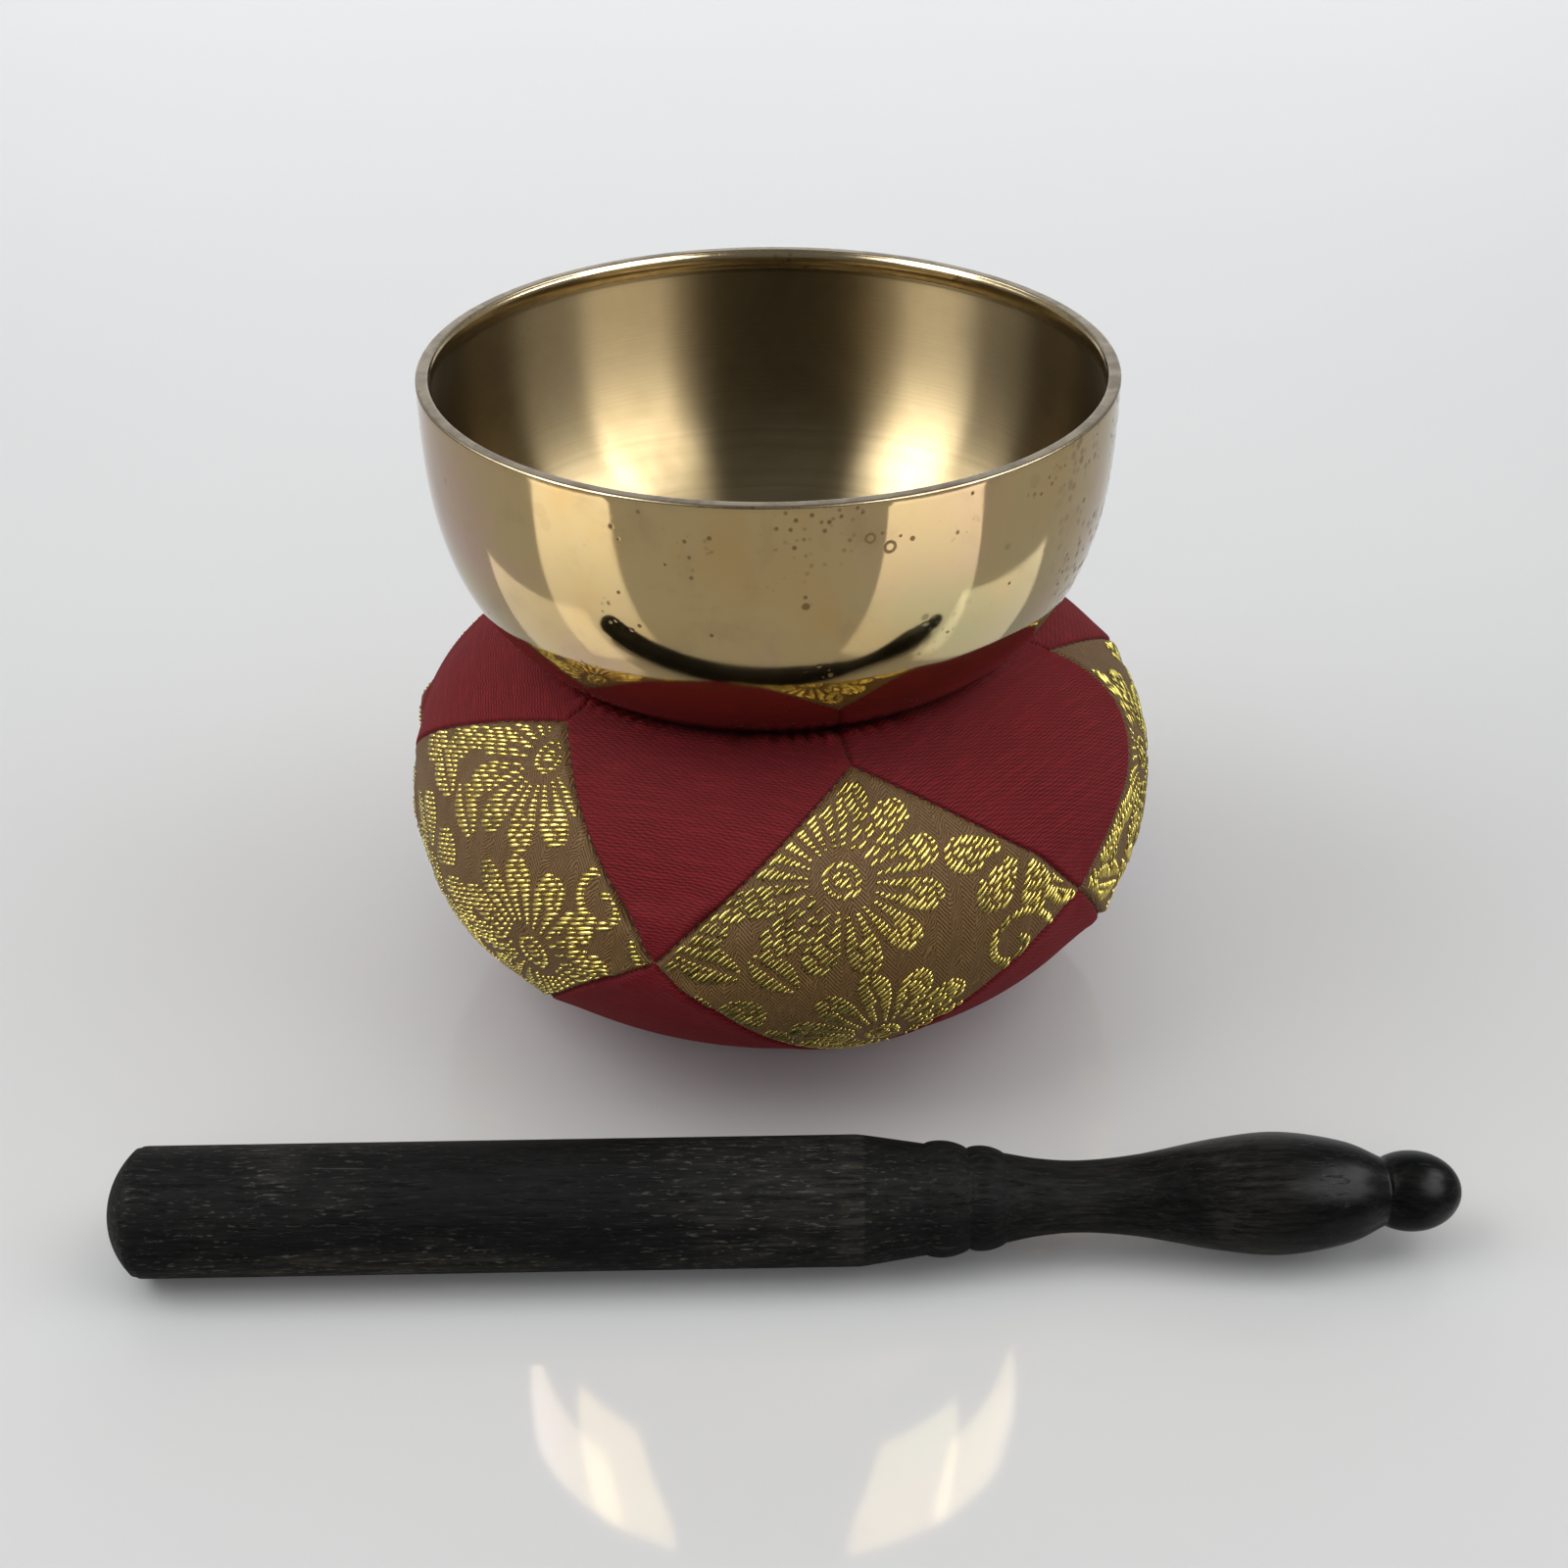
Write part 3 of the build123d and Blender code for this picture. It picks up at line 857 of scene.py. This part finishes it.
def panel_corners(kind, i):
    after = (i + 1) % 5
    if kind == "top":
        return ("P", 0), ("T", i), ("S", i), ("T", after)
    if kind == "brocade":
        return ("T", i), ("S", i), ("B", i), ("S", (i - 1) % 5)
    return ("N", 0), ("B", after), ("S", i), ("B", i)


def edge_ways(a, b, t):
    """Directions along the seam between two corners at parameters t from a to b."""
    if a + b in SEAMS:
        return SEAMS[a + b](t)
    return SEAMS[b + a](1 - t)


def panel_ways(kind, i, t):
    """A grid of directions over a panel, blended from its four seams, with parameters t each way."""
    a, b, c, d = panel_corners(kind, i)
    bottom, right = edge_ways(a, b, t), edge_ways(b, c, t)
    top, left = edge_ways(d, c, t), edge_ways(a, d, t)
    u, v = t[None, :, None], t[:, None, None]
    ruled = (1 - v) * bottom[None] + v * top[None] + (1 - u) * left[:, None] + u * right[:, None]
    bilinear = (1 - u) * (1 - v) * bottom[0] + u * (1 - v) * bottom[-1]
    bilinear = bilinear + (1 - u) * v * top[0] + u * v * top[-1]
    return unit(ruled - bilinear)


KINDS = ("top", "brocade", "bottom")


# Cushion simulation ----------------------------------------------------------------------------
def puffed(coarse):
    """The cover's movement under the stuffing's pressure, for each panel's coarse grid.

    The fifteen panels are welded into one closed cover whose seams are gathered a little, a cloth
    simulation swells it, and the movement is capped and faded out in the dent and on the base."""
    grids = {(k, i): panel_ways(k, i, coarse) for k in KINDS for i in PANELS}
    count = len(coarse) ** 2
    ways = np.concatenate([g.reshape(-1, 3) for g in grids.values()])
    _, first, weld = np.unique(np.round(ways, 5), axis=0, return_index=True, return_inverse=True)
    weld = weld.ravel()
    s, free = reach(ways[first])
    points = HEART + ways[first] * s[:, None]
    side = len(coarse)
    faces = np.concatenate([weld[grid_faces(side, side, n * count)] for n in range(len(grids))])
    cover = make_piece("cover_form", points, [list(dict.fromkeys(f)) for f in faces])
    seam_points = set()
    border = np.zeros((side, side), bool)
    border[[0, -1], :] = border[:, [0, -1]] = True
    for n in range(len(grids)):
        seam_points.update(weld[n * count + np.flatnonzero(border.ravel())].tolist())
    cover.vertex_groups.new(name="seams").add(sorted(seam_points), 1.0, "REPLACE")
    cloth = cover.modifiers.new("Cloth", "CLOTH")
    settings = cloth.settings
    settings.quality = 6
    settings.mass = 0.0001
    settings.tension_stiffness = settings.compression_stiffness = 12
    settings.shear_stiffness = 4
    settings.bending_stiffness = 0.02
    settings.use_pressure = True
    settings.uniform_pressure_force = PRESSURE
    settings.vertex_group_shrink = "seams"
    settings.shrink_max = GATHER
    settings.effector_weights.gravity = 0
    cloth.point_cache.frame_start, cloth.point_cache.frame_end = 1, STEPS
    scene = bpy.context.scene
    for step in range(1, STEPS + 1):
        scene.frame_set(step)
    shown = cover.evaluated_get(bpy.context.evaluated_depsgraph_get())
    moved = np.empty(len(points) * 3, np.float32)
    shown.to_mesh().vertices.foreach_get("co", moved)
    shown.to_mesh_clear()
    scene.frame_set(1)
    bpy.data.objects.remove(cover)
    delta = (moved.reshape(-1, 3) - points) * free[:, None]
    size = np.linalg.norm(delta, axis=1, keepdims=True)
    delta *= np.minimum(1.0, PUFF_CAP / np.maximum(size, 1e-9))
    panels = delta[weld].reshape(len(grids), side, side, 3)
    return dict(zip(grids, panels))


def between(grid, t):
    """A coarse even grid read at the finer parameters t each way."""
    steps = grid.shape[0] - 1
    at = np.clip(t * steps, 0, steps - 1e-6)
    i = at.astype(int)
    f = at - i
    f = (f * f * (3 - 2 * f))[:, None, None]
    rows = grid[i] * (1 - f) + grid[i + 1] * f
    f = f.reshape(1, -1, 1)
    return rows[:, i] * (1 - f) + rows[:, i + 1] * f


def graded(count):
    """Parameters from 0 to 1, closer together at both ends, where the seams are."""
    even = np.linspace(0, 1, count + 1)
    return even - 0.135 * np.sin(2 * math.pi * even)


def flat_map(ways, middle):
    """The cloth's own flat coordinates round a panel's middle: east and north, millimetres."""
    pole = POLE if abs(middle[2]) < 0.95 else np.array((0.0, 1.0, 0.0))
    east = unit(np.cross(pole, middle))
    north = np.cross(middle, east)
    along = np.clip(ways @ middle, -1, 1)
    off = ways - along[..., None] * middle
    size = np.maximum(np.linalg.norm(off, axis=-1), 1e-9)
    away = (MAP_RADIUS * np.arccos(along) / size)[..., None]
    return away * np.stack([off @ east, off @ north], axis=-1)


def surface_normals(grid):
    return unit(np.cross(np.gradient(grid, axis=1), np.gradient(grid, axis=0)))


def panel_surface(kind, i, moves, t):
    """The finished outer surface of a panel: points, outward normals and flat coordinates."""
    ways = panel_ways(kind, i, t)
    flat_ways = ways.reshape(-1, 3)
    s, free = reach(flat_ways)
    border = np.concatenate([ways[0], ways[-1], ways[:, 0], ways[:, -1]])
    gap = np.empty(len(flat_ways))
    for n in range(0, len(flat_ways), 2000):
        near = np.max(flat_ways[n:n + 2000] @ border.T, axis=1)
        gap[n:n + 2000] = np.arccos(np.clip(near, -1, 1))
    gap *= s
    s = s + free * RIDGE * (np.exp(-((gap / RIDGE_WIDTH) ** 2)) - 0.55)
    s = s - (0.25 + 0.75 * free) * GROOVE * np.exp(-((gap / GROOVE_WIDTH) ** 2))
    points = (HEART + flat_ways * s[:, None]).reshape(ways.shape)
    if moves is not None:
        points = points + between(moves[kind, i], t)
    points[..., 2] = np.maximum(points[..., 2], 0.0)
    middle = unit(sum(edge_ways(a, b, np.array([0.5]))[0] for a, b in corner_pairs(kind, i)))
    normals = surface_normals(points)
    if np.sum(normals * ways) < 0:
        normals = -normals
    return points, normals, flat_map(ways, middle)


def corner_pairs(kind, i):
    corners = panel_corners(kind, i)
    return list(zip(corners, corners[1:] + corners[:1]))


def make_panel(kind, i, moves, material):
    """One panel of cloth as a closed shell, turned in at its seams."""
    t = graded(FINE)
    points, normals, flat = panel_surface(kind, i, moves, t)
    rows = len(t)
    outer = points.reshape(-1, 3)
    inner = outer - normals.reshape(-1, 3) * CLOTH_THICK
    inner[:, 2] = np.maximum(inner[:, 2], 0.2 * MM)
    faces = grid_faces(rows, rows)
    middle = rows // 2
    step_v = points[middle + 1, middle] - points[middle, middle]
    step_u = points[middle, middle + 1] - points[middle, middle]
    facing = np.cross(step_v, step_u) @ normals[middle, middle]
    if facing < 0:
        faces = faces[:, ::-1]
    back = faces[:, ::-1] + rows * rows
    at = np.arange(rows * rows).reshape(rows, rows)
    loop = np.concatenate([at[0, :-1], at[:-1, -1], at[-1, :0:-1], at[:0:-1, 0]])
    ahead = np.roll(loop, -1)
    rim = np.stack([loop, ahead, ahead + rows * rows, loop + rows * rows], axis=1)
    if facing > 0:
        rim = rim[:, ::-1]
    uv = np.concatenate([flat.reshape(-1, 2)] * 2)
    skins, faces = np.concatenate([outer, inner]), np.concatenate([faces, back, rim])
    piece = make_piece(f"{kind}_cloth_{i + 1}", skins, faces, material, uv=uv)
    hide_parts(f"{kind}_panel_{i + 1}")
    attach(piece, "cushion")
    return points, normals, flat


def tube_faces(first, rings):
    """Faces of a closed tube of six-point rings, numbered ring by ring from first."""
    faces = []
    for ring in range(first, first + 6 * (rings - 1), 6):
        for k in range(6):
            a, b = ring + k, ring + (k + 1) % 6
            faces.append((a, b, b + 6, a + 6))
    last = first + 6 * (rings - 1)
    return faces + [tuple(range(first + 5, first - 1, -1)), tuple(range(last, last + 6))]


# Brocade ---------------------------------------------------------------------------------------
def in_flower(x, y, radius, petals, turn, width, slotted):
    """A round flower of blunt petals, which may each be split by a slot that closes near its tip."""
    r, a = np.hypot(x, y), np.arctan2(y, x)
    slot = 2 * math.pi / petals
    foot = FLOWER_EYE + 1.3
    half = np.minimum(0.75 + (width - 0.75) * (r - foot) / (0.5 * radius - 1), width)
    tip = radius - width
    across = np.abs(r * ((a - turn + slot / 2) % slot - slot / 2))
    petal = (across < half) & (r > foot) & (r < tip)
    petal |= (r >= tip) & (np.hypot(r - tip, across) < width)
    vein = (across < 0.34) & (r < foot + 0.62 * (tip - foot))
    return petal & ~(vein & slotted)


def in_eye(x, y):
    r = np.hypot(x, y)
    return (r < FLOWER_EYE) & ~((r > 1.15) & (r < 1.6))


def in_curl(x, y, place, turn, size=1.0, hand=1):
    """A scroll tendril: a band along a spiral whose outer end runs out into a tail."""
    share = np.linspace(0, 1, 40)
    angle = turn + hand * np.radians(CURL_START + CURL_SWEEP * share)
    radius = size * CURL_RADIUS * (1 + 0.6 * np.exp(-6.5 * share) - 0.35 * share - 0.35 * share**6)
    line = np.stack([radius * np.cos(angle), radius * np.sin(angle)], axis=1) + place
    gap = np.full(x.shape, np.inf)
    for a, b in zip(line, line[1:]):
        step = b - a
        share = np.clip(((x - a[0]) * step[0] + (y - a[1]) * step[1]) / (step @ step), 0, 1)
        gap = np.minimum(gap, np.hypot(x - a[0] - share * step[0], y - a[1] - share * step[1]))
    return gap < CURL_WIDTH / 2


def in_leaf(x, y, length, width, turn):
    """A pointed leaf with a midrib."""
    c, s = math.cos(turn), math.sin(turn)
    u, v = c * x + s * y, -s * x + c * y
    share = u / length
    half = width * np.sin(math.pi * np.clip(share, 0, 1)) ** 0.8
    return (np.abs(v) < half) & (share > 0) & (share < 1) & (np.abs(v) > 0.25)


def pattern(x, y):
    """Whether the brocade is gold at cloth point (x, y) of its repeat, millimetres."""
    gold = np.zeros(x.shape, bool)
    cell = np.linalg.inv(np.array([REPEAT_A, REPEAT_B]).T)
    whole = np.floor(np.einsum("ij,j...->i...", cell, np.stack([x, y])))
    x = x - whole[0] * REPEAT_A[0] - whole[1] * REPEAT_B[0]
    y = y - whole[0] * REPEAT_A[1] - whole[1] * REPEAT_B[1]
    for j in range(-1, 3):
        for k in range(-1, 3):
            u = x - j * REPEAT_A[0] - k * REPEAT_B[0]
            v = y - j * REPEAT_A[1] - k * REPEAT_B[1]
            gold |= in_flower(u, v, FLOWER_RADIUS, PETALS, 0.22, 2.2, True) | in_eye(u, v)
            w, z = u - SECOND_FLOWER[0], v - SECOND_FLOWER[1]
            gold |= in_flower(w, z, SECOND_RADIUS, SECOND_PETALS, 0.12, 2.75, False) | in_eye(w, z)
            for along, up, length, width, turn in LEAVES:
                gold |= in_leaf(u - along, v - up, length, width, turn)
    return gold


def inside(polygon, x, y):
    """Whether points lie in a closed polygon of (x, y)."""
    found = np.zeros(x.shape, bool)
    for (ax, ay), (bx, by) in zip(polygon, np.roll(polygon, -1, axis=0)):
        crosses = (ay > y) != (by > y)
        with np.errstate(divide="ignore", invalid="ignore"):
            found ^= crosses & (x < (bx - ax) * (y - ay) / (by - ay) + ax)
    return found


def row_bend(along, row):
    """How far a row of gold thread strays sideways, millimetres."""
    return 0.17 * np.sin(along * 0.16 + row * 0.05)


def row_floats(flat, lay, curls, angle, rng):
    """Ends of each gold float on a panel, in rows, as (row position, start, end), millimetres."""
    border = np.concatenate([flat[0, :-1], flat[:-1, -1], flat[-1, :0:-1], flat[:0:-1, 0]])[::4]
    middle = border.mean(axis=0)
    border = middle + (border - middle) * 0.968
    c, s = math.cos(angle), math.sin(angle)
    along = np.arange(-ROW_REACH, ROW_REACH, ROW_STEP)
    rows = np.arange(-ROW_REACH, ROW_REACH, ROW_PITCH)
    across = rows[:, None] + row_bend(along[None, :], rows[:, None])
    x, y = c * along - s * across, s * along + c * across
    gold = pattern(x - lay[0], y - lay[1])
    for place, turn, size, hand in curls:
        near = np.hypot(x - place[0], y - place[1]) < 8.5
        gold[near] |= in_curl(x[near], y[near], np.array(place), math.radians(turn), size, hand)
    gold &= inside(border, x, y)
    floats = []
    for row, lit in zip(rows, gold):
        edges = np.flatnonzero(np.diff(np.concatenate([[0], lit.astype(int), [0]])))
        for a, b in zip(edges[::2], edges[1::2]):
            start, end = along[a], along[min(b, len(along)) - 1]
            while end - start > SHORTEST:
                length = min(end - start, rng.uniform(*FLOAT_LENGTHS))
                if end - start - length < LEAST_REST:
                    length = end - start
                if length > LONGEST:
                    length *= 0.5
                floats.append((row, start, start + length))
                start += length + rng.uniform(*FLOAT_GAPS)
    return floats


def make_floats(i, points, normals, flat, material):
    """The panel's gold pattern, each float a flattened strand that lies on the cloth."""
    lay, degrees = BROCADE_LAY[i]
    angle = math.radians(degrees)
    rng = random.Random(40 + i)
    rows = len(points)
    flat_points = np.concatenate([flat.reshape(-1, 2), np.zeros((rows * rows, 1))], axis=1)
    quads = grid_faces(rows, rows)
    tree = BVHTree.FromPolygons([Vector(p) for p in flat_points], [tuple(q) for q in quads])
    outer, ups = points.reshape(-1, 3), normals.reshape(-1, 3)
    c, s = math.cos(angle), math.sin(angle)

    def on_cloth(along, across):
        spot = Vector((c * along - s * across, s * along + c * across, 0))
        hit, _, index, _ = tree.find_nearest(spot)
        corners = quads[index]
        weights = np.array(poly_3d_calc([Vector(flat_points[k]) for k in corners], hit))
        return weights @ outer[corners], unit(weights @ ups[corners])

    made, faces, uv = [], [], []
    sides = np.radians(np.arange(0, 360, 60) + 30)
    widths, lifts = (0.45, 0.92, 1.0, 0.92, 0.45), (-0.35, 0.62, 0.9, 0.62, -0.35)
    for row, start, end in row_floats(flat, lay, CURLS[i], angle, rng):
        roll = math.radians(rng.uniform(-16, 16))
        thick = rng.uniform(0.82, 1.12)
        sway = rng.uniform(-0.05, 0.05)
        first = len(made)
        stations = np.linspace(start, end, 5)
        placed = [on_cloth(a, row + row_bend(a, row) + sway) for a in stations]
        for n, (spot, up) in enumerate(placed):
            ahead = unit(placed[min(n + 1, 4)][0] - placed[max(n - 1, 0)][0])
            side = unit(np.cross(up, ahead))
            across = side * math.cos(roll) + up * math.sin(roll)
            over = np.cross(ahead, across)
            centre = spot + up * FLOAT_HEIGHT * MM * 0.6 * lifts[n]
            wide = FLOAT_WIDTH / 2 * MM * widths[n] * thick
            high = FLOAT_HEIGHT * MM * (0.8 if 0 < n < 4 else 0.5)
            for a in sides:
                made.append(centre + across * (wide * math.cos(a)) + over * (high * math.sin(a)))
                uv.append((stations[n] + row * 7.1, row * 3.3 + 0.2 * math.cos(a)))
        faces += tube_faces(first, 5)
    made = np.array(made)
    made[:, 2] = np.maximum(made[:, 2], 0.0)
    piece = make_piece(f"gold_floats_{i + 1}", made, faces, material, uv=uv)
    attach(piece, "cushion")


# Seams -----------------------------------------------------------------------------------------
def tube(made, faces, uv, path, radii, up):
    """Adds a closed round tube along path to the lists, with a radius at each point."""
    first = len(made)
    sides = np.radians(np.arange(0, 360, 60))
    last = len(path) - 1
    for n, spot in enumerate(path):
        ahead = unit(path[min(n + 1, last)] - path[max(n - 1, 0)])
        side = unit(np.cross(up, ahead))
        over = np.cross(ahead, side)
        for a in sides:
            made.append(spot + (side * math.cos(a) + over * math.sin(a)) * radii[n])
            uv.append((n * 0.25, a / math.pi))
    faces.extend(tube_faces(first, len(path)))


def make_stitches(surfaces, material):
    """Short slanting stitches that close every seam."""
    rng = random.Random(7)
    made, faces, uv = [], [], []
    done = set()
    for (kind, i), (points, normals, _) in surfaces.items():
        corners = panel_corners(kind, i)
        sides = (
            (corners[0], corners[1], points[0], normals[0]),
            (corners[1], corners[2], points[:, -1], normals[:, -1]),
            (corners[3], corners[2], points[-1], normals[-1]),
            (corners[0], corners[3], points[:, 0], normals[:, 0]),
        )
        for a, b, line, ups in sides:
            if frozenset((a, b)) in done:
                continue
            done.add(frozenset((a, b)))
            lengths = np.concatenate([[0], np.cumsum(np.linalg.norm(np.diff(line, axis=0), axis=1))])

            def at(d, lengths=lengths, line=line):
                return np.array([np.interp(d, lengths, line[:, k]) for k in range(3)])

            place = 1.0 * MM
            while place < lengths[-1] - 1.6 * MM:
                size = rng.uniform(0.75, 1.05) * MM
                up = unit(at(place, lengths, ups))
                ahead = unit(at(place + size) - at(place))
                across = np.cross(up, ahead)
                slant = rng.uniform(0.1, 0.2) * MM
                path = []
                for q in STITCH_SHARES:
                    out = 2 * q - 1  # -1 at the stitch's start, 1 at its end
                    lift = up * STITCH_LIFT * (1 - 2.2 * out * out)
                    path.append(at(place + size * q) + across * slant * out + lift)
                tube(made, faces, uv, path, STITCH_RADII, up)
                place += size + rng.uniform(0.55, 0.85) * MM
    made = np.array(made)
    made[:, 2] = np.maximum(made[:, 2], 0.0)
    piece = make_piece("seam_stitches", made, faces, material, uv=uv)
    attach(piece, "cushion")


def make_filling(material):
    """The stuffing inside the cover, with a lumpy skin."""
    rises = np.radians(np.linspace(-90, 90, 73))
    bearings = np.radians(np.arange(0, 360, 4))
    points = [(0.0, 0.0, -1.0)]
    for r in rises[1:-1]:
        points += [(math.cos(r) * math.sin(b), -math.cos(r) * math.cos(b), math.sin(r)) for b in bearings]
    points.append((0.0, 0.0, 1.0))
    ways = np.array(points)
    s, _ = reach(ways, DENT_GAP + FILLING_INSET)
    wobble = 0.16 * MM * np.sin(ways[:, 0] * 31) * np.cos(ways[:, 1] * 27) * np.sin(ways[:, 2] * 23 + 1)
    skin = HEART + ways * (s - FILLING_INSET + wobble)[:, None]
    skin[:, 2] = np.maximum(skin[:, 2], 0.9 * MM)
    turns, top = len(bearings), len(points) - 1
    around = [(k, (k + 1) % turns) for k in range(turns)]
    faces = [(0, 1 + b, 1 + a) for a, b in around]
    for base in range(1, top - turns, turns):
        faces += [(base + a, base + b, base + turns + b, base + turns + a) for a, b in around]
    faces += [(top - turns + a, top - turns + b, top) for a, b in around]
    piece = make_piece("cushion_stuffing", skin, faces, material)
    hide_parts("cushion_filling")
    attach(piece, "cushion")


def make_tie(material):
    """The tufting cord: a stem through the cushion, and two strands knotted over the tuft."""
    low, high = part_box("tie_thread")
    knot = (high.x - low.x) / 2
    foot = high.z - 1.3 * MM
    made, faces, uv = [], [], []
    stem = [np.array((0.0, 0.0, z)) for z in np.linspace(low.z, foot + 0.5 * MM, 12)]
    tube(made, faces, uv, stem, [0.42 * MM] * 12, np.array((1.0, 0.0, 0.0)))
    turns = np.linspace(0, 2 * math.pi, 61)
    wound = knot - 0.5 * MM
    loop = [
        np.array((
            wound * (math.sin(a) + 0.9 * math.sin(2 * a)) / 1.9 * 1.25,
            wound * (math.cos(a) - 0.9 * math.cos(2 * a)) / 1.9 * 1.25,
            foot + 0.62 * MM - 0.22 * MM * math.sin(3 * a),
        ))
        for a in turns
    ]
    tube(made, faces, uv, loop, [0.3 * MM] * len(loop), POLE)
    piece = make_piece("tufting_knot", np.array(made), faces, material, uv=uv)
    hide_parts("tie_thread")
    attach(piece, "cushion")


def make_cushion():
    moves = puffed(np.linspace(0, 1, COARSE + 1))
    red, ground, gold = red_cloth(), brocade_ground(), gold_thread()
    surfaces = {}
    for kind in KINDS:
        for i in PANELS:
            surfaces[kind, i] = make_panel(kind, i, moves, ground if kind == "brocade" else red)
    for i in PANELS:
        make_floats(i, *surfaces["brocade", i], gold)
    make_stitches(surfaces, seam_thread())
    make_filling(stuffing())
    make_tie(tie_cord())


# Studio ----------------------------------------------------------------------------------------
def make_floor():
    look = Look("pale_floor")
    faint = look.noise(look.place(), 6.0, 3)
    colour = look.mix(faint, (0.74, 0.74, 0.74, 1), (0.78, 0.78, 0.78, 1))
    look.set(Base_Color=colour, Roughness=0.06, IOR=1.45)
    half, low = 4.0, -0.05 * MM
    corners = [(-half, -half, low), (half, -half, low), (half, half, low), (-half, half, low)]
    floor = make_piece("floor", corners, [(0, 1, 2, 3)], look.material, smooth=False)


def make_light(name, bearing, rise, distance, width, height, radiance, glossy, roll):
    """A soft rectangular light of even radiance, aimed at the object. A glossy one shows only in
    reflections, and any other one only lights matt surfaces."""
    light = bpy.data.lights.new(name, "AREA")
    light.shape = "RECTANGLE"
    light.size, light.size_y = width, height
    light.energy = radiance * math.pi * width * height
    lamp = bpy.data.objects.new(name, light)
    aim = Vector(LIGHTS_AIM)
    lamp.location = aim + Vector(direction(bearing, rise)) * distance
    facing = (aim - lamp.location).to_track_quat("-Z", "Y").to_matrix()
    lamp.rotation_euler = (facing @ Matrix.Rotation(math.radians(roll), 3, "Z")).to_euler()
    lamp.visible_camera = False
    lamp.visible_diffuse = not glossy
    lamp.visible_glossy = glossy
    bpy.context.scene.collection.objects.link(lamp)


def make_world():
    """Soft white all round, dimmer in front and brightest low at the back."""
    world = bpy.data.worlds.new("studio")
    bpy.context.scene.world = world
    world.use_nodes = True
    tree = world.node_tree
    coordinates = tree.nodes.new("ShaderNodeTexCoord")
    split = tree.nodes.new("ShaderNodeSeparateXYZ")
    tree.links.new(coordinates.outputs["Generated"], split.inputs[0])
    total = None
    for limits in WORLD_STEPS:
        step = tree.nodes.new("ShaderNodeMapRange")
        step.interpolation_type = "SMOOTHSTEP"
        for key, value in zip(("From Min", "From Max", "To Min", "To Max"), limits):
            step.inputs[key].default_value = value
        tree.links.new(split.outputs[1], step.inputs["Value"])
        if total is None:
            total = step.outputs[0]
            continue
        both = tree.nodes.new("ShaderNodeMath")
        tree.links.new(total, both.inputs[0])
        tree.links.new(step.outputs[0], both.inputs[1])
        total = both.outputs[0]
    background = tree.nodes["Background"]
    background.inputs["Color"].default_value = (0.97, 0.985, 1.0, 1)
    tree.links.new(total, background.inputs["Strength"])


def make_camera():
    """The photograph's camera."""
    data = bpy.data.cameras.new("camera")
    data.lens, data.sensor_width = LENS, SENSOR
    data.clip_start, data.clip_end = 0.01, 50
    camera = bpy.data.objects.new("camera", data)
    tip = Matrix.Rotation(math.radians(90 + CAMERA_PITCH), 4, "X")
    roll = Matrix.Rotation(math.radians(CAMERA_ROLL), 4, "Z")
    camera.matrix_world = Matrix.Translation(CAMERA_PLACE) @ tip @ roll
    bpy.context.scene.collection.objects.link(camera)
    bpy.context.scene.camera = camera


def make_studio():
    make_floor()
    for light in LIGHTS:
        make_light(*light)
    make_world()
    bpy.context.scene.view_settings.view_transform = "Standard"


make_camera()
make_bowl()
make_striker()
make_cushion()
make_studio()
